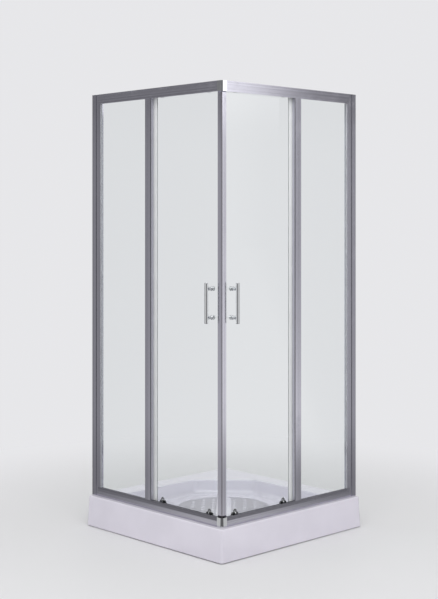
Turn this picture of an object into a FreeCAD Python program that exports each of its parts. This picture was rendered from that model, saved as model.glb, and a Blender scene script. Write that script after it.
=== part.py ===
import FreeCAD, Part
import math
import os
import re

import Sketcher
from FreeCAD import Placement, Rotation, Vector

# Corner entry shower enclosure: a square tray, a frame on its two open sides with a fixed
# pane and a sliding door each, and a waste.
#
# Frame of the part: +Z up, origin on the floor under the middle of the tray. The walls of
# the room stand at -X and +Y, and the entry corner points to +X and -Y. Every piece of the
# left side stands along -Y and is drawn once; the right side, along +X, is its mirror
# image in the plane through the entry corner and the middle.
#
# A place across the left side is told as its depth: how far it lies inside the outer plane
# of the tray. A place along the left side is its X.

# Driving dimensions in millimetres

SIZES = {
    # Tray
    "tray_width": 900.0,
    "tray_height": 139.0,
    "skirt_gap": 4.0,
    "tray_shell": 5.0,
    "skirt_draft_angle": 4.2,
    "tray_corner_radius": 12.0,
    "tray_edge_radius": 5.0,
    "wall_skirt_height": 58.0,
    "skirt_return": 45.0,
    "basin_inset": 98.0,
    "basin_depth": 65.0,
    "basin_draft_angle": 10.5,
    "basin_corner_radius": 34.0,
    "basin_chamfer": 205.0,
    "basin_floor_radius": 26.0,
    "basin_rim_radius": 7.0,
    "field_radius": 215.0,
    "field_back": 55.0,
    "field_sink": 0.8,
    "groove_width": 66.0,
    "groove_back": 271.0,
    "groove_sink": 2.0,
    "stud_pitch": 48.5,
    "stud_diameter": 22.0,
    "stud_height": 1.6,
    # Support under the tray
    "tube_width": 25.0,
    "tube_wall": 1.5,
    "tube_inset": 160.0,
    "middle_tube_place": 40.0,
    "foot_pad_diameter": 42.0,
    "foot_pad_height": 9.0,
    "foot_rod_diameter": 10.0,
    "foot_nut_width": 17.0,
    "foot_nut_height": 8.0,
    # Waste
    "waste_inset": 248.475,
    "waste_hole": 90.0,
    "waste_flange_diameter": 114.0,
    "waste_flange_height": 3.0,
    "waste_seat_sink": 2.2,
    "waste_wall": 2.5,
    "waste_skirt_length": 16.0,
    "gasket_height": 2.0,
    "trap_floor_gap": 9.0,
    "spigot_diameter": 40.0,
    "spigot_length": 62.0,
    "spigot_seat": 48.0,
    "cover_diameter": 108.0,
    "cover_rise": 7.0,
    "cover_slot": 2.5,
    # Frame sections
    "frame_height": 1861.0,
    "rail_inset": 33.0,
    "rail_depth": 42.0,
    "rail_wall": 2.0,
    "inner_wall": 1.6,
    "top_rail_height": 44.5,
    "bottom_rail_height": 40.5,
    "bottom_rail_bevel_height": 15.0,
    "bottom_rail_bevel_width": 5.0,
    "corner_arm": 29.0,
    "corner_proud": 0.8,
    "corner_radius": 12.0,
    "corner_wall": 3.3,
    "glass": 5.0,
    "fixed_glass_depth": 7.0,
    "glass_spacing": 9.0,
    "pane_edge_gap": 4.0,
    "channel_reach": 28.0,
    "channel_depth": 36.0,
    "channel_wall": 1.5,
    "channel_wall_gap": 10.0,
    "upright_show": 15.0,
    "pocket_depth": 16.0,
    "wall_hole_diameter": 5.5,
    "wall_hole_spacing": 1400.0,
    "fixed_side_width": 416.0,
    "meeting_profile_width": 41.0,
    "meeting_profile_step": 2.5,
    "meeting_profile_face": 2.0,
    # Doors
    "door_travel": 350.0,
    "door_overlap": 9.0,
    "door_floor_gap": 25.0,
    "door_head_gap": 19.0,
    "stile_width": 23.0,
    "stile_proud": 4.0,
    "stile_corner_gap": 2.4,
    "stile_grip": 11.5,
    "stile_wall": 1.5,
    "magnet_width": 13.0,
    "edge_seal_width": 29.0,
    "edge_seal_wall": 1.2,
    "edge_seal_fin": 2.8,
    # Running gear
    "front_roller_place": 135.0,
    "rear_roller_inset": 60.0,
    "wheel_diameter": 20.0,
    "wheel_width": 6.4,
    "groove_depth": 1.8,
    "bead_width": 1.6,
    "axle_diameter": 5.0,
    "axle_head_diameter": 8.0,
    "axle_head_height": 1.2,
    "axle_clearance": 0.05,
    "track_stand": 8.0,
    "bracket_plate": 3.0,
    "bracket_width": 28.0,
    "glass_bolt_diameter": 5.0,
    "glass_hole_diameter": 9.0,
    "glass_cap_diameter": 17.0,
    "glass_cap_height": 3.0,
    "roller_cap_diameter": 12.0,
    "yoke_thickness": 3.3,
    "yoke_leg": 3.0,
    "yoke_width": 17.0,
    "yoke_button_height": 8.5,
    "yoke_button_width": 5.0,
    "release_travel": 4.0,
    "housing_width": 38.0,
    "housing_top_width": 26.0,
    "housing_depth": 8.0,
    "housing_height": 13.5,
    "stop_length": 12.0,
    # Handles
    "handle_height": 1069.5,
    "handle_length": 172.0,
    "handle_spacing": 121.5,
    "handle_diameter": 16.0,
    "handle_stand": 36.5,
    "handle_place": 57.0,
    "handle_post_diameter": 15.0,
    "handle_foot_diameter": 19.0,
    "handle_foot_height": 11.0,
    "handle_cap_height": 5.0,
    "handle_washer": 1.0,
    # Fasteners
    "screw_diameter": 4.0,
    "screw_head_diameter": 8.0,
    "screw_head_height": 2.4,
    "screw_length": 12.0,
    # Clearances
    "slide_gap": 0.3,
    "running_gap": 1.0,
    "wheel_gap": 0.4,
    "overrun": 5.0,
}

# What a 45 degree cut gains when its outline is drawn larger all round
BEVEL_GAIN_SHARE = 2 - math.sqrt(2)
# Part of a unit normal that tells one direction from another
HALF_SHARE = 0.5
# Two places closer than this, in millimetres, are the same
SAME_PLACE = 1e-3

doc = FreeCAD.newDocument("shower_enclosure")


class Size:
    """A length as its number and as the spreadsheet formula that it is bound by."""

    def __init__(self, number, formula):
        self.number = number
        self.formula = formula

    def joined(self, other, sign, number):
        return Size(number, "(%s %s %s)" % (self.formula, sign, size(other).formula))

    def __add__(self, other):
        return self.joined(other, "+", self.number + size(other).number)

    def __sub__(self, other):
        return self.joined(other, "-", self.number - size(other).number)

    def __mul__(self, other):
        return self.joined(other, "*", self.number * size(other).number)

    def __truediv__(self, other):
        return self.joined(other, "/", self.number / size(other).number)

    def __radd__(self, other):
        return size(other) + self

    def __rsub__(self, other):
        return size(other) - self

    def __rmul__(self, other):
        return size(other) * self

    def __neg__(self):
        return 0 - self


def size(value):
    """Give a bare number the form of a Size."""
    if isinstance(value, Size):
        return value
    return Size(float(value), repr(float(value)))


def tangent(angle):
    """Slope of an angle in degrees."""
    return Size(math.tan(math.radians(angle.number)), "tan(%s)" % angle.formula)


class Sheet:
    """The spreadsheet of driving dimensions, read as sheet.tray_width and so on."""

    def __init__(self, sizes):
        self.cells = doc.addObject("Spreadsheet::Sheet", "Sizes")
        for row, (alias, number) in enumerate(sizes.items(), start=1):
            self.cells.set("A%d" % row, alias.replace("_", " "))
            self.cells.set("B%d" % row, str(number))
            self.cells.setAlias("B%d" % row, alias)
        doc.recompute()

    def __getattr__(self, alias):
        return Size(float(self.cells.get(alias)), "Sizes." + alias)


sheet = Sheet(SIZES)

# Places that follow from the sizes

half = sheet.tray_width / 2
rim = sheet.tray_height
basin_floor = rim - sheet.basin_depth
floor_under = basin_floor - sheet.tray_shell
frame_top = rim + sheet.frame_height
top_rail_low = frame_top - sheet.top_rail_height
bottom_rail_high = rim + sheet.bottom_rail_height

rail_out = sheet.rail_inset
rail_in = rail_out + sheet.rail_depth
fixed_out = rail_out + sheet.fixed_glass_depth
fixed_in = fixed_out + sheet.glass
door_out = fixed_in + sheet.glass_spacing
door_in = door_out + sheet.glass
partition_out = fixed_in + sheet.rail_wall
partition_in = partition_out + sheet.inner_wall
track = door_in + sheet.track_stand
lip_edge = track - sheet.bead_width * 2
rail_start = sheet.channel_reach + sheet.upright_show - half
rail_end = half - rail_out - sheet.corner_arm
notch = half - rail_in - sheet.running_gap * 2

meeting_end = sheet.fixed_side_width - half
meeting_start = meeting_end - sheet.meeting_profile_width
pocket_end = rail_start + sheet.pocket_depth
fixed_start = rail_start + sheet.pane_edge_gap
fixed_end = meeting_start + sheet.pocket_depth - sheet.pane_edge_gap
fixed_low = rim + sheet.rail_wall + sheet.pane_edge_gap
fixed_high = frame_top - sheet.rail_wall - sheet.pane_edge_gap

door_low = rim + sheet.door_floor_gap
door_high = frame_top - sheet.door_head_gap
door_start = meeting_end - sheet.door_overlap
stile_out = door_out - sheet.stile_proud
stile_in = door_in + sheet.stile_proud
stile_tip = half - stile_out - sheet.stile_corner_gap
stile_start = stile_tip - sheet.stile_width
door_end = stile_start + sheet.stile_grip

wheel_radius = sheet.wheel_diameter / 2
rolling_radius = wheel_radius - sheet.groove_depth
axle_radius = sheet.axle_diameter / 2
top_axle = frame_top - sheet.rail_wall - sheet.axle_diameter * 0.8 - wheel_radius
top_bead = top_axle - rolling_radius - sheet.slide_gap
top_lip = top_axle - wheel_radius - sheet.rail_wall
bottom_lip = bottom_rail_high - sheet.rail_wall * 4.5
bottom_axle = bottom_lip - sheet.rail_wall * 2 - wheel_radius
bottom_bead = bottom_axle + rolling_radius + sheet.slide_gap
roller_places = (half - sheet.front_roller_place, door_start + sheet.rear_roller_inset)
roller_names = ("front", "rear")
top_bolt = top_rail_low + sheet.glass_cap_diameter * 0.6
housing_low = bottom_lip + sheet.running_gap * 2
housing_high = housing_low + sheet.housing_height
bottom_bolt = housing_low + sheet.housing_height / 2
handle_x = half - door_out - sheet.handle_place

tube_place = half - sheet.tube_inset
waste_x = half - sheet.waste_inset
waste_y = -waste_x


def across(depth):
    """Turn a depth inside the outer plane into the Y of the left side."""
    return depth - half


# Small tools for sketches and features


def bind(item, name, value):
    """Bind a property or a constraint to the spreadsheet."""
    item.setExpression(name, size(value).formula)


def new_body(label):
    """Start a piece that is made of sketches and features."""
    body = doc.addObject("PartDesign::Body", label)
    body.Label = label
    return body


def new_sketch(body, role, offset=0):
    """Put an empty sketch on one of the body's own origin planes."""
    sketch = body.newObject("Sketcher::SketchObject", body.Name + "_sketch")
    planes = [item for item in body.Origin.OriginFeatures if item.Role == role]
    sketch.AttachmentSupport = [(planes[0], "")]
    sketch.MapMode = "FlatFace"
    bind(sketch, "AttachmentOffset.Base.z", offset)
    return sketch


def draw_outline(sketch, points):
    """Add one closed outline of straight lines whose corners are bound to sizes."""
    first = sketch.GeometryCount
    corners = [(size(x), size(y)) for x, y in points]
    count = len(corners)
    spots = [Vector(x.number, y.number, 0) for x, y in corners]
    lines = [Part.LineSegment(spots[i], spots[(i + 1) % count]) for i in range(count)]
    sketch.addGeometry(lines)
    joins = [Sketcher.Constraint("Coincident", first + i, 2, first + (i + 1) % count, 1)
             for i in range(count)]
    sketch.addConstraint(joins)
    for i, (x, y) in enumerate(corners):
        places = [Sketcher.Constraint("DistanceX", -1, 1, first + i, 1, x.number),
                  Sketcher.Constraint("DistanceY", -1, 1, first + i, 1, y.number)]
        for index, value in zip(sketch.addConstraint(places), (x, y)):
            bind(sketch, "Constraints[%d]" % index, value)


def draw_circle(sketch, x, y, radius):
    """Add one circle whose centre and radius are bound to sizes."""
    x, y, radius = size(x), size(y), size(radius)
    circle = Part.Circle(Vector(x.number, y.number, 0), Vector(0, 0, 1), radius.number)
    index = sketch.addGeometry(circle)
    limits = [Sketcher.Constraint("DistanceX", -1, 1, index, 3, x.number),
              Sketcher.Constraint("DistanceY", -1, 1, index, 3, y.number),
              Sketcher.Constraint("Radius", index, radius.number)]
    for place, value in zip(sketch.addConstraint(limits), (x, y, radius)):
        bind(sketch, "Constraints[%d]" % place, value)


def pad(body, sketch, length, reverse=False):
    """Pad a sketch."""
    feature = body.newObject("PartDesign::Pad", body.Name + "_pad")
    feature.Profile = sketch
    feature.Reversed = reverse
    bind(feature, "Length", length)
    body.Tip = feature
    doc.recompute()
    return feature


def pocket(body, sketch, length, reverse=False):
    """Cut a sketch into the body and make sure that it did cut."""
    before = body.Shape.Volume
    feature = body.newObject("PartDesign::Pocket", body.Name + "_pocket")
    feature.Profile = sketch
    feature.Reversed = reverse
    bind(feature, "Length", length)
    body.Tip = feature
    doc.recompute()
    if not body.Shape.Volume < before:
        raise ValueError("pocket cuts nothing in " + body.Label)
    return feature


def fillet(body, radius, chosen):
    """Round the edges of a body's tip that the test picks."""
    base = body.Tip
    edges = ["Edge%d" % (i + 1) for i, edge in enumerate(base.Shape.Edges) if chosen(edge)]
    feature = body.newObject("PartDesign::Fillet", body.Name + "_fillet")
    feature.Base = (base, edges)
    bind(feature, "Radius", radius)
    body.Tip = feature
    doc.recompute()
    return feature


def upright_piece(label, outlines, low, high):
    """Make a piece by padding an outline, and the hollows in it, up along Z."""
    body = new_body(label)
    sketch = new_sketch(body, "XY_Plane", low)
    for outline in outlines:
        draw_outline(sketch, outline)
    pad(body, sketch, high - low)
    return body


def long_piece(label, outlines, start, end):
    """Make a piece by padding an outline of (Y, Z) corners along X."""
    body = new_body(label)
    sketch = new_sketch(body, "YZ_Plane", start)
    for outline in outlines:
        draw_outline(sketch, outline)
    pad(body, sketch, end - start)
    return body


def turned_piece(label, outline, x, y, z, turn=None):
    """Turn an outline of (radius, height) corners about Z and put the piece in place."""
    body = new_body(label)
    sketch = new_sketch(body, "XZ_Plane")
    draw_outline(sketch, outline)
    feature = body.newObject("PartDesign::Revolution", label + "_turned")
    feature.Profile = sketch
    feature.ReferenceAxis = (sketch, ["V_Axis"])
    feature.Angle = 360
    body.Tip = feature
    body.Placement = Placement(Vector(0, 0, 0), turn or Rotation())
    for axis, value in (("x", x), ("y", y), ("z", z)):
        bind(body, "Placement.Base." + axis, value)
    doc.recompute()
    return body


def drill(body, places, radius, depth, role="XZ_Plane", offset=0, reverse=False):
    """Cut round holes through a piece, square to one of its origin planes."""
    sketch = new_sketch(body, role, offset)
    for x, y in places:
        draw_circle(sketch, x, y, radius)
    pocket(body, sketch, depth, reverse)


def box(label, low, high):
    """Make a plain block between two corners."""
    block = doc.addObject("Part::Box", label)
    block.Label = label
    for side, axis, first, last in zip(("Length", "Width", "Height"), "xyz", low, high):
        bind(block, side, last - first)
        bind(block, "Placement.Base." + axis, first)
    return block


def cylinder(label, x, y, z, radius, height):
    """Make an upright cylinder."""
    part = doc.addObject("Part::Cylinder", label)
    part.Label = label
    for axis, value in (("x", x), ("y", y), ("z", z)):
        bind(part, "Placement.Base." + axis, value)
    bind(part, "Radius", radius)
    bind(part, "Height", height)
    return part


def sphere(label, x, y, z, radius):
    """Make a ball."""
    part = doc.addObject("Part::Sphere", label)
    part.Label = label
    for axis, value in (("x", x), ("y", y), ("z", z)):
        bind(part, "Placement.Base." + axis, value)
    bind(part, "Radius", radius)
    return part


def boolean(kind, label, base, tool):
    """Join two pieces by Part::Cut, Part::Fuse or Part::Common."""
    result = doc.addObject("Part::" + kind, label)
    result.Label = label
    result.Base = base
    result.Tool = tool
    doc.recompute()
    return result


def joined(label, items):
    """Fuse several pieces into one."""
    result = doc.addObject("Part::MultiFuse", label)
    result.Label = label
    result.Shapes = items
    doc.recompute()
    return result


def group(label, items):
    """Hold several like pieces as separate solids of one sub-part."""
    compound = doc.addObject("Part::Compound", label)
    compound.Label = label
    compound.Links = items
    doc.recompute()
    return compound


def solids_at(label, shape, places):
    """Hold one shape at several placements as the solids of one sub-part."""
    doc.recompute()
    part = doc.addObject("Part::Feature", label)
    part.Label = label
    part.Shape = Part.makeCompound([shape.transformed(place.toMatrix(), True) for place in places])
    part.Placement = Placement()
    return part


def mirrored(label, source):
    """Make the right side's twin of a piece of the left side."""
    twin = doc.addObject("Part::Mirroring", label)
    twin.Label = label
    twin.Source = source
    twin.Base = Vector(0, 0, 0)
    twin.Normal = Vector(1, 1, 0)
    doc.recompute()
    return twin


def point(x, y, z):
    """Read three sizes as a plain vector."""
    return Vector(size(x).number, size(y).number, size(z).number)


# Rotations that lay a turned piece along -Y, along -X and along +Y

TOWARDS_FRONT = Rotation(Vector(1, 0, 0), 90)
TOWARDS_WALL = Rotation(Vector(0, 1, 0), -90)
INWARD = Rotation(Vector(1, 0, 0), -90)


# Tray


def four_sides(wall_reach, open_reach):
    """Outline of the tray: its walls' sides and its open sides from the middle."""
    return [(-wall_reach, -open_reach), (open_reach, -open_reach), (open_reach, wall_reach),
            (-wall_reach, wall_reach)]


def is_side(normal):
    """Tell the normal of a side face from that of a level one."""
    return abs(normal.z) < HALF_SHARE


def is_open_side(normal):
    """Tell the normal of a side face that looks away from the walls."""
    return normal.x - normal.y > HALF_SHARE


def leaning_block(label, outline, low, high, angle, outwards, leans):
    """Pad an outline up along Z and lean the chosen sides in or out towards the top."""
    body = new_body(label)
    sketch = new_sketch(body, "XY_Plane", low)
    draw_outline(sketch, outline)
    block = pad(body, sketch, high - low)
    faces = list(enumerate((face.normalAt(0, 0) for face in block.Shape.Faces), start=1))
    feature = body.newObject("PartDesign::Draft", label + "_draft")
    feature.Base = (block, ["Face%d" % number for number, normal in faces if leans(normal)])
    feature.NeutralPlane = (block, ["Face%d" % number for number, normal in faces
                                    if normal.z < -HALF_SHARE])
    feature.Reversed = outwards
    bind(feature, "Angle", angle)
    body.Tip = feature
    doc.recompute()
    return body


def is_upright(edge):
    """Tell an edge that climbs from one that lies level."""
    box_of_edge = edge.BoundBox
    return box_of_edge.ZLength > max(box_of_edge.XLength, box_of_edge.YLength)


def is_level_at(level):
    """Make a test for edges that lie level at one height."""
    height = size(level).number
    return lambda edge: (abs(edge.BoundBox.ZMin - height) < SAME_PLACE
                         and abs(edge.BoundBox.ZMax - height) < SAME_PLACE)


def farthest(edge):
    """How far an edge reaches from the part's middle, along X or along Y."""
    box_around = edge.BoundBox
    return max(abs(box_around.XMax), abs(box_around.XMin), abs(box_around.YMax), abs(box_around.YMin))


def is_upright_at(reach):
    """Make a test for the upright edge over one point of the line to the entry corner."""
    place = size(reach).number
    return lambda edge: (is_upright(edge) and abs(edge.BoundBox.XMin - place) < SAME_PLACE
                         and abs(edge.BoundBox.YMin + place) < SAME_PLACE)


def five_sides(reach, cut):
    """Outline of the basin: a square with its back corner cut at 45 degrees."""
    return [(-reach, -reach), (reach, -reach), (reach, reach), (cut - reach, reach),
            (-reach, reach - cut)]


def basin_form(label, grow, floor, top):
    """Body of the basin, grown all round: leaning walls, round corners, round foot."""
    reach = half - sheet.basin_inset + grow - (rim - floor) * tangent(sheet.basin_draft_angle)
    cut = sheet.basin_chamfer + grow * BEVEL_GAIN_SHARE
    body = leaning_block(label, five_sides(reach, cut), floor, top, sheet.basin_draft_angle, True, is_side)
    fillet(body, sheet.basin_corner_radius + grow, is_upright)
    fillet(body, sheet.basin_floor_radius + grow, is_level_at(floor))
    return body


def stud_field():
    """Low anti-slip studs in rows square to the diagonal, either side of the groove."""
    pitch = sheet.stud_pitch.number
    reach = sheet.field_radius.number - sheet.stud_diameter.number * 0.75
    base = (basin_floor - sheet.field_sink).number
    foot = sheet.stud_diameter.number / 2
    height = sheet.stud_height.number
    sunk = height * 0.25
    middle = Vector(-sheet.field_back.number / math.sqrt(2), sheet.field_back.number / math.sqrt(2), base)
    diagonal = Vector(1, -1, 0).normalize()
    across_it = Vector(1, 1, 0).normalize()
    waste_edge = sheet.waste_flange_diameter.number / 2 + sheet.stud_diameter.number * 0.75
    waste = Vector(waste_x.number, waste_y.number, 0)
    rows = int(reach // pitch)
    studs = []
    for row in range(-rows, rows + 1):
        for column in range(-rows, rows + 1):
            offset = diagonal * row * pitch + across_it * column * pitch
            spot = middle + offset
            if column == 0 or offset.Length > reach:
                continue
            if (Vector(spot.x, spot.y, 0) - waste).Length < waste_edge:
                continue
            studs.append(Part.makeCone(foot, foot * 0.8, height + sunk, spot - Vector(0, 0, sunk)))
    field = doc.addObject("Part::Feature", "stud_field")
    field.Shape = Part.makeCompound(studs)
    return field


def drain_groove():
    """Shallow channel along the diagonal, round at its back end, down to the waste."""
    low = basin_floor - sheet.groove_sink
    height = sheet.groove_sink + sheet.overrun
    radius = sheet.groove_width / 2
    back = sheet.groove_back - radius
    channel = doc.addObject("Part::Box", "groove_channel")
    channel.Placement = Placement(Vector(0, 0, 0), Rotation(Vector(0, 0, 1), -45))
    bind(channel, "Length", back + waste_x * math.sqrt(2))
    bind(channel, "Width", sheet.groove_width)
    bind(channel, "Height", height)
    bind(channel, "Placement.Base.x", -(back + radius) / math.sqrt(2))
    bind(channel, "Placement.Base.y", (back - radius) / math.sqrt(2))
    bind(channel, "Placement.Base.z", low)
    end = cylinder("groove_end", -back / math.sqrt(2), back / math.sqrt(2), low, radius, height)
    return boolean("Fuse", "drain_groove", channel, end)


def wall_side_cuts():
    """Blocks that cut the skirts along the walls short, so that the waste pipe gets out."""
    outside = half + sheet.overrun
    inside = half - sheet.tray_shell * 2
    low = sheet.skirt_gap - sheet.overrun
    high = rim - sheet.wall_skirt_height
    back = half - sheet.skirt_return
    return [box("left_wall_cut", (-outside, -back, low), (-inside, outside, high)),
            box("right_wall_cut", (-outside, inside, low), (back, outside, high))]


def shower_tray():
    """Moulded shell: skirts, rim, basin, groove, studs and the hole of the waste."""
    draft = sheet.skirt_draft_angle
    block = leaning_block("tray_block", four_sides(half, half), sheet.skirt_gap, rim, draft, False,
                          is_open_side)
    fillet(block, sheet.tray_corner_radius, is_upright)
    fillet(block, sheet.tray_edge_radius, is_level_at(rim))
    wall_reach = half - sheet.tray_shell
    under = leaning_block("tray_under_space",
                          four_sides(wall_reach, wall_reach + sheet.overrun * tangent(draft)),
                          sheet.skirt_gap - sheet.overrun, rim - sheet.tray_shell, draft, False,
                          is_open_side)
    fillet(under, sheet.tray_corner_radius - sheet.tray_shell, is_upright)
    outside = basin_form("basin_outside", sheet.tray_shell, floor_under, rim)
    hollow = boolean("Cut", "tray_hollow", under, outside)
    shell = boolean("Cut", "tray_shell", block, hollow)
    inside = basin_form("basin_inside", size(0), basin_floor, rim + sheet.overrun)
    bowl = boolean("Cut", "tray_bowl", shell, inside)
    body = new_body("tray_rim")
    body.BaseFeature = bowl
    doc.recompute()
    reach = (half - sheet.basin_inset + sheet.running_gap).number
    fillet(body, sheet.basin_rim_radius, lambda edge: is_level_at(rim)(edge) and farthest(edge) < reach)
    sink = cylinder("field_recess", -sheet.field_back / math.sqrt(2), sheet.field_back / math.sqrt(2),
                    basin_floor - sheet.field_sink, sheet.field_radius,
                    sheet.field_sink + sheet.overrun)
    seat = cylinder("waste_seat", waste_x, waste_y, basin_floor - sheet.waste_seat_sink,
                    sheet.waste_flange_diameter / 2 + sheet.running_gap,
                    sheet.waste_seat_sink + sheet.overrun)
    hole = cylinder("waste_hole", waste_x, waste_y, floor_under - sheet.overrun,
                    sheet.waste_hole / 2, sheet.tray_shell + sheet.overrun * 2)
    cuts = group("tray_cuts", [sink, drain_groove()] + wall_side_cuts())
    carved = boolean("Cut", "tray_carved", body, cuts)
    studded = boolean("Fuse", "tray_studded", carved, stud_field())
    seated = boolean("Cut", "tray_seated", studded, seat)
    return boolean("Cut", "shower_tray", seated, hole)


# Support under the tray

tube_top = floor_under
tube_low = tube_top - sheet.tube_width
foot_places = [(-tube_place, -tube_place), (tube_place, -tube_place),
               (-tube_place, tube_place), (tube_place, tube_place),
               (size(0), sheet.middle_tube_place)]


def tube(label, along_x, place, start, end):
    """One square steel tube under the basin."""
    reach = sheet.tube_width / 2
    wall = sheet.tube_wall
    low = (start, place - reach, tube_low) if along_x else (place - reach, start, tube_low)
    high = (end, place + reach, tube_top) if along_x else (place + reach, end, tube_top)
    outer = box(label + "_outside", low, high)
    if along_x:
        inner = box(label + "_inside", (start - wall, place - reach + wall, tube_low + wall),
                    (end + wall, place + reach - wall, tube_top - wall))
    else:
        inner = box(label + "_inside", (place - reach + wall, start - wall, tube_low + wall),
                    (place + reach - wall, end + wall, tube_top - wall))
    return boolean("Cut", label, outer, inner)


def long_tubes():
    """Three tubes across the tray, with a hole over each foot."""
    reach = sheet.tube_width / 2
    side = tube_place
    outer = side + reach
    inner = side - reach
    tubes = [tube("tube_front", True, -side, -outer, outer),
             tube("tube_middle", True, sheet.middle_tube_place, -inner, inner),
             tube("tube_back", True, side, -outer, outer)]
    holes = [cylinder("rod_hole_%d" % number, x, y, tube_low - sheet.overrun,
                      sheet.foot_rod_diameter / 2, sheet.tube_wall + sheet.overrun * 2)
             for number, (x, y) in enumerate(foot_places, start=1)]
    return boolean("Cut", "tray_long_tubes", group("long_tubes_whole", tubes), group("rod_holes", holes))


def cross_tubes():
    """Two tubes welded between the ends of the middle tube and the back tube."""
    start = sheet.middle_tube_place - sheet.tube_width / 2
    end = tube_place - sheet.tube_width / 2
    return group("tray_cross_tubes", [tube("tube_left", False, -tube_place, start, end),
                                      tube("tube_right", False, tube_place, start, end)])


def foot_pads():
    """Plastic feet, wider at the floor, with a socket for the threaded rod."""
    wide = sheet.foot_pad_diameter / 2
    neck = sheet.foot_rod_diameter
    rod = sheet.foot_rod_diameter / 2
    floor = sheet.foot_pad_height / 3
    outline = [(0, 0), (wide, 0), (wide, floor), (neck, sheet.foot_pad_height),
               (rod, sheet.foot_pad_height), (rod, floor), (0, floor)]
    master = turned_piece("foot_pad_form", outline, 0, 0, 0)
    return solids_at("foot_pads", master.Shape, [Placement(point(x, y, 0), Rotation())
                                                for x, y in foot_places])


def foot_rods():
    """Threaded rods between the feet and the tubes."""
    low = sheet.foot_pad_height / 3
    high = tube_low + sheet.tube_wall + sheet.foot_nut_height
    rods = [cylinder("rod_%d" % number, x, y, low, sheet.foot_rod_diameter / 2, high - low)
            for number, (x, y) in enumerate(foot_places, start=1)]
    return group("foot_rods", rods)


def foot_nuts():
    """Hexagon nuts that lock each rod under its tube."""
    body = new_body("foot_nut_form")
    sketch = new_sketch(body, "XY_Plane")
    corner = sheet.foot_nut_width / math.sqrt(3)
    draw_outline(sketch, [(corner * math.cos(math.radians(turn)), corner * math.sin(math.radians(turn)))
                          for turn in range(0, 360, 60)])
    draw_circle(sketch, 0, 0, sheet.foot_rod_diameter / 2)
    pad(body, sketch, sheet.foot_nut_height)
    low = tube_low - sheet.foot_nut_height
    return solids_at("foot_nuts", body.Shape, [Placement(point(x, y, low), Rotation())
                                               for x, y in foot_places])


# Waste

seat_level = basin_floor - sheet.waste_seat_sink
throat = sheet.waste_hole / 2 - sheet.running_gap - sheet.waste_wall
trap_rim = floor_under - sheet.gasket_height


def waste_flange():
    """Ring that clamps the tray's floor, with a skirt down through the hole."""
    wide = sheet.waste_flange_diameter / 2
    low = -sheet.waste_skirt_length
    wall = sheet.waste_wall
    ledge = throat - wall
    tall = sheet.waste_flange_height
    outline = [(throat, tall * 0.5), (throat + wall, tall), (wide - wall, tall), (wide, 0),
               (throat + wall, 0), (throat + wall, low), (ledge, low), (ledge, low + wall), (throat, low + wall)]
    return turned_piece("waste_flange", outline, waste_x, waste_y, seat_level)


def trap_gasket():
    """Flat rubber ring between the tray's floor and the trap."""
    wide = sheet.waste_flange_diameter / 2
    bore = sheet.waste_hole / 2
    outline = [(bore, 0), (wide, 0), (wide, sheet.gasket_height), (bore, sheet.gasket_height)]
    return turned_piece("trap_gasket", outline, waste_x, waste_y, trap_rim)


def waste_trap():
    """Cup under the hole with a collar at its rim and a spigot to the side.

    The spigot is thicker at its root, where the waste pipe's sleeve stops.
    """
    wide = sheet.waste_flange_diameter / 2
    wall = sheet.waste_wall
    bore = sheet.waste_hole / 2
    low = sheet.trap_floor_gap
    outside = [(0, low), (bore - wall, low), (bore + wall, low + wall * 2),
               (bore + wall, trap_rim - wall * 2), (wide, trap_rim - wall), (wide, trap_rim)]
    inside = [(bore, trap_rim), (bore, low + wall * 3), (bore - wall * 2, low + wall), (0, low + wall)]
    cup = turned_piece("trap_cup", outside + inside, waste_x, waste_y, 0)
    room = turned_piece("trap_room", inside + [(0, trap_rim)], waste_x, waste_y, 0)
    thin = sheet.spigot_diameter / 2
    root = thin + wall * 0.8
    mouth = bore + sheet.spigot_length
    shoulder = mouth - sheet.spigot_seat
    level = low + wall + thin
    start = bore - wall * 3
    spigot = turned_piece("trap_spigot", [(0, start), (root, start), (root, shoulder - wall),
                                          (thin, shoulder), (thin, mouth), (0, mouth)],
                          waste_x, waste_y, level, TOWARDS_WALL)
    branch = boolean("Cut", "trap_branch", spigot, room)
    hollow = thin - wall
    water_way = turned_piece("trap_water_way", [(0, start), (hollow, start), (hollow, mouth + wall),
                                                (0, mouth + wall)], waste_x, waste_y, level, TOWARDS_WALL)
    return boolean("Cut", "waste_trap", boolean("Fuse", "trap_whole", cup, branch), water_way)


def dip_tube():
    """Loose tube that hangs on the flange's ledge and dips into the trap."""
    wall = sheet.waste_wall
    ledge = throat - wall
    rest = seat_level - sheet.waste_skirt_length + wall
    low = sheet.trap_floor_gap + wall * 4
    outline = [(ledge - wall - sheet.slide_gap, low), (ledge - sheet.slide_gap, low),
               (ledge - sheet.slide_gap, rest), (throat - sheet.slide_gap, rest),
               (throat - sheet.slide_gap, rest + wall), (ledge - wall - sheet.slide_gap, rest + wall)]
    return turned_piece("waste_dip_tube", outline, waste_x, waste_y, 0)


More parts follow.
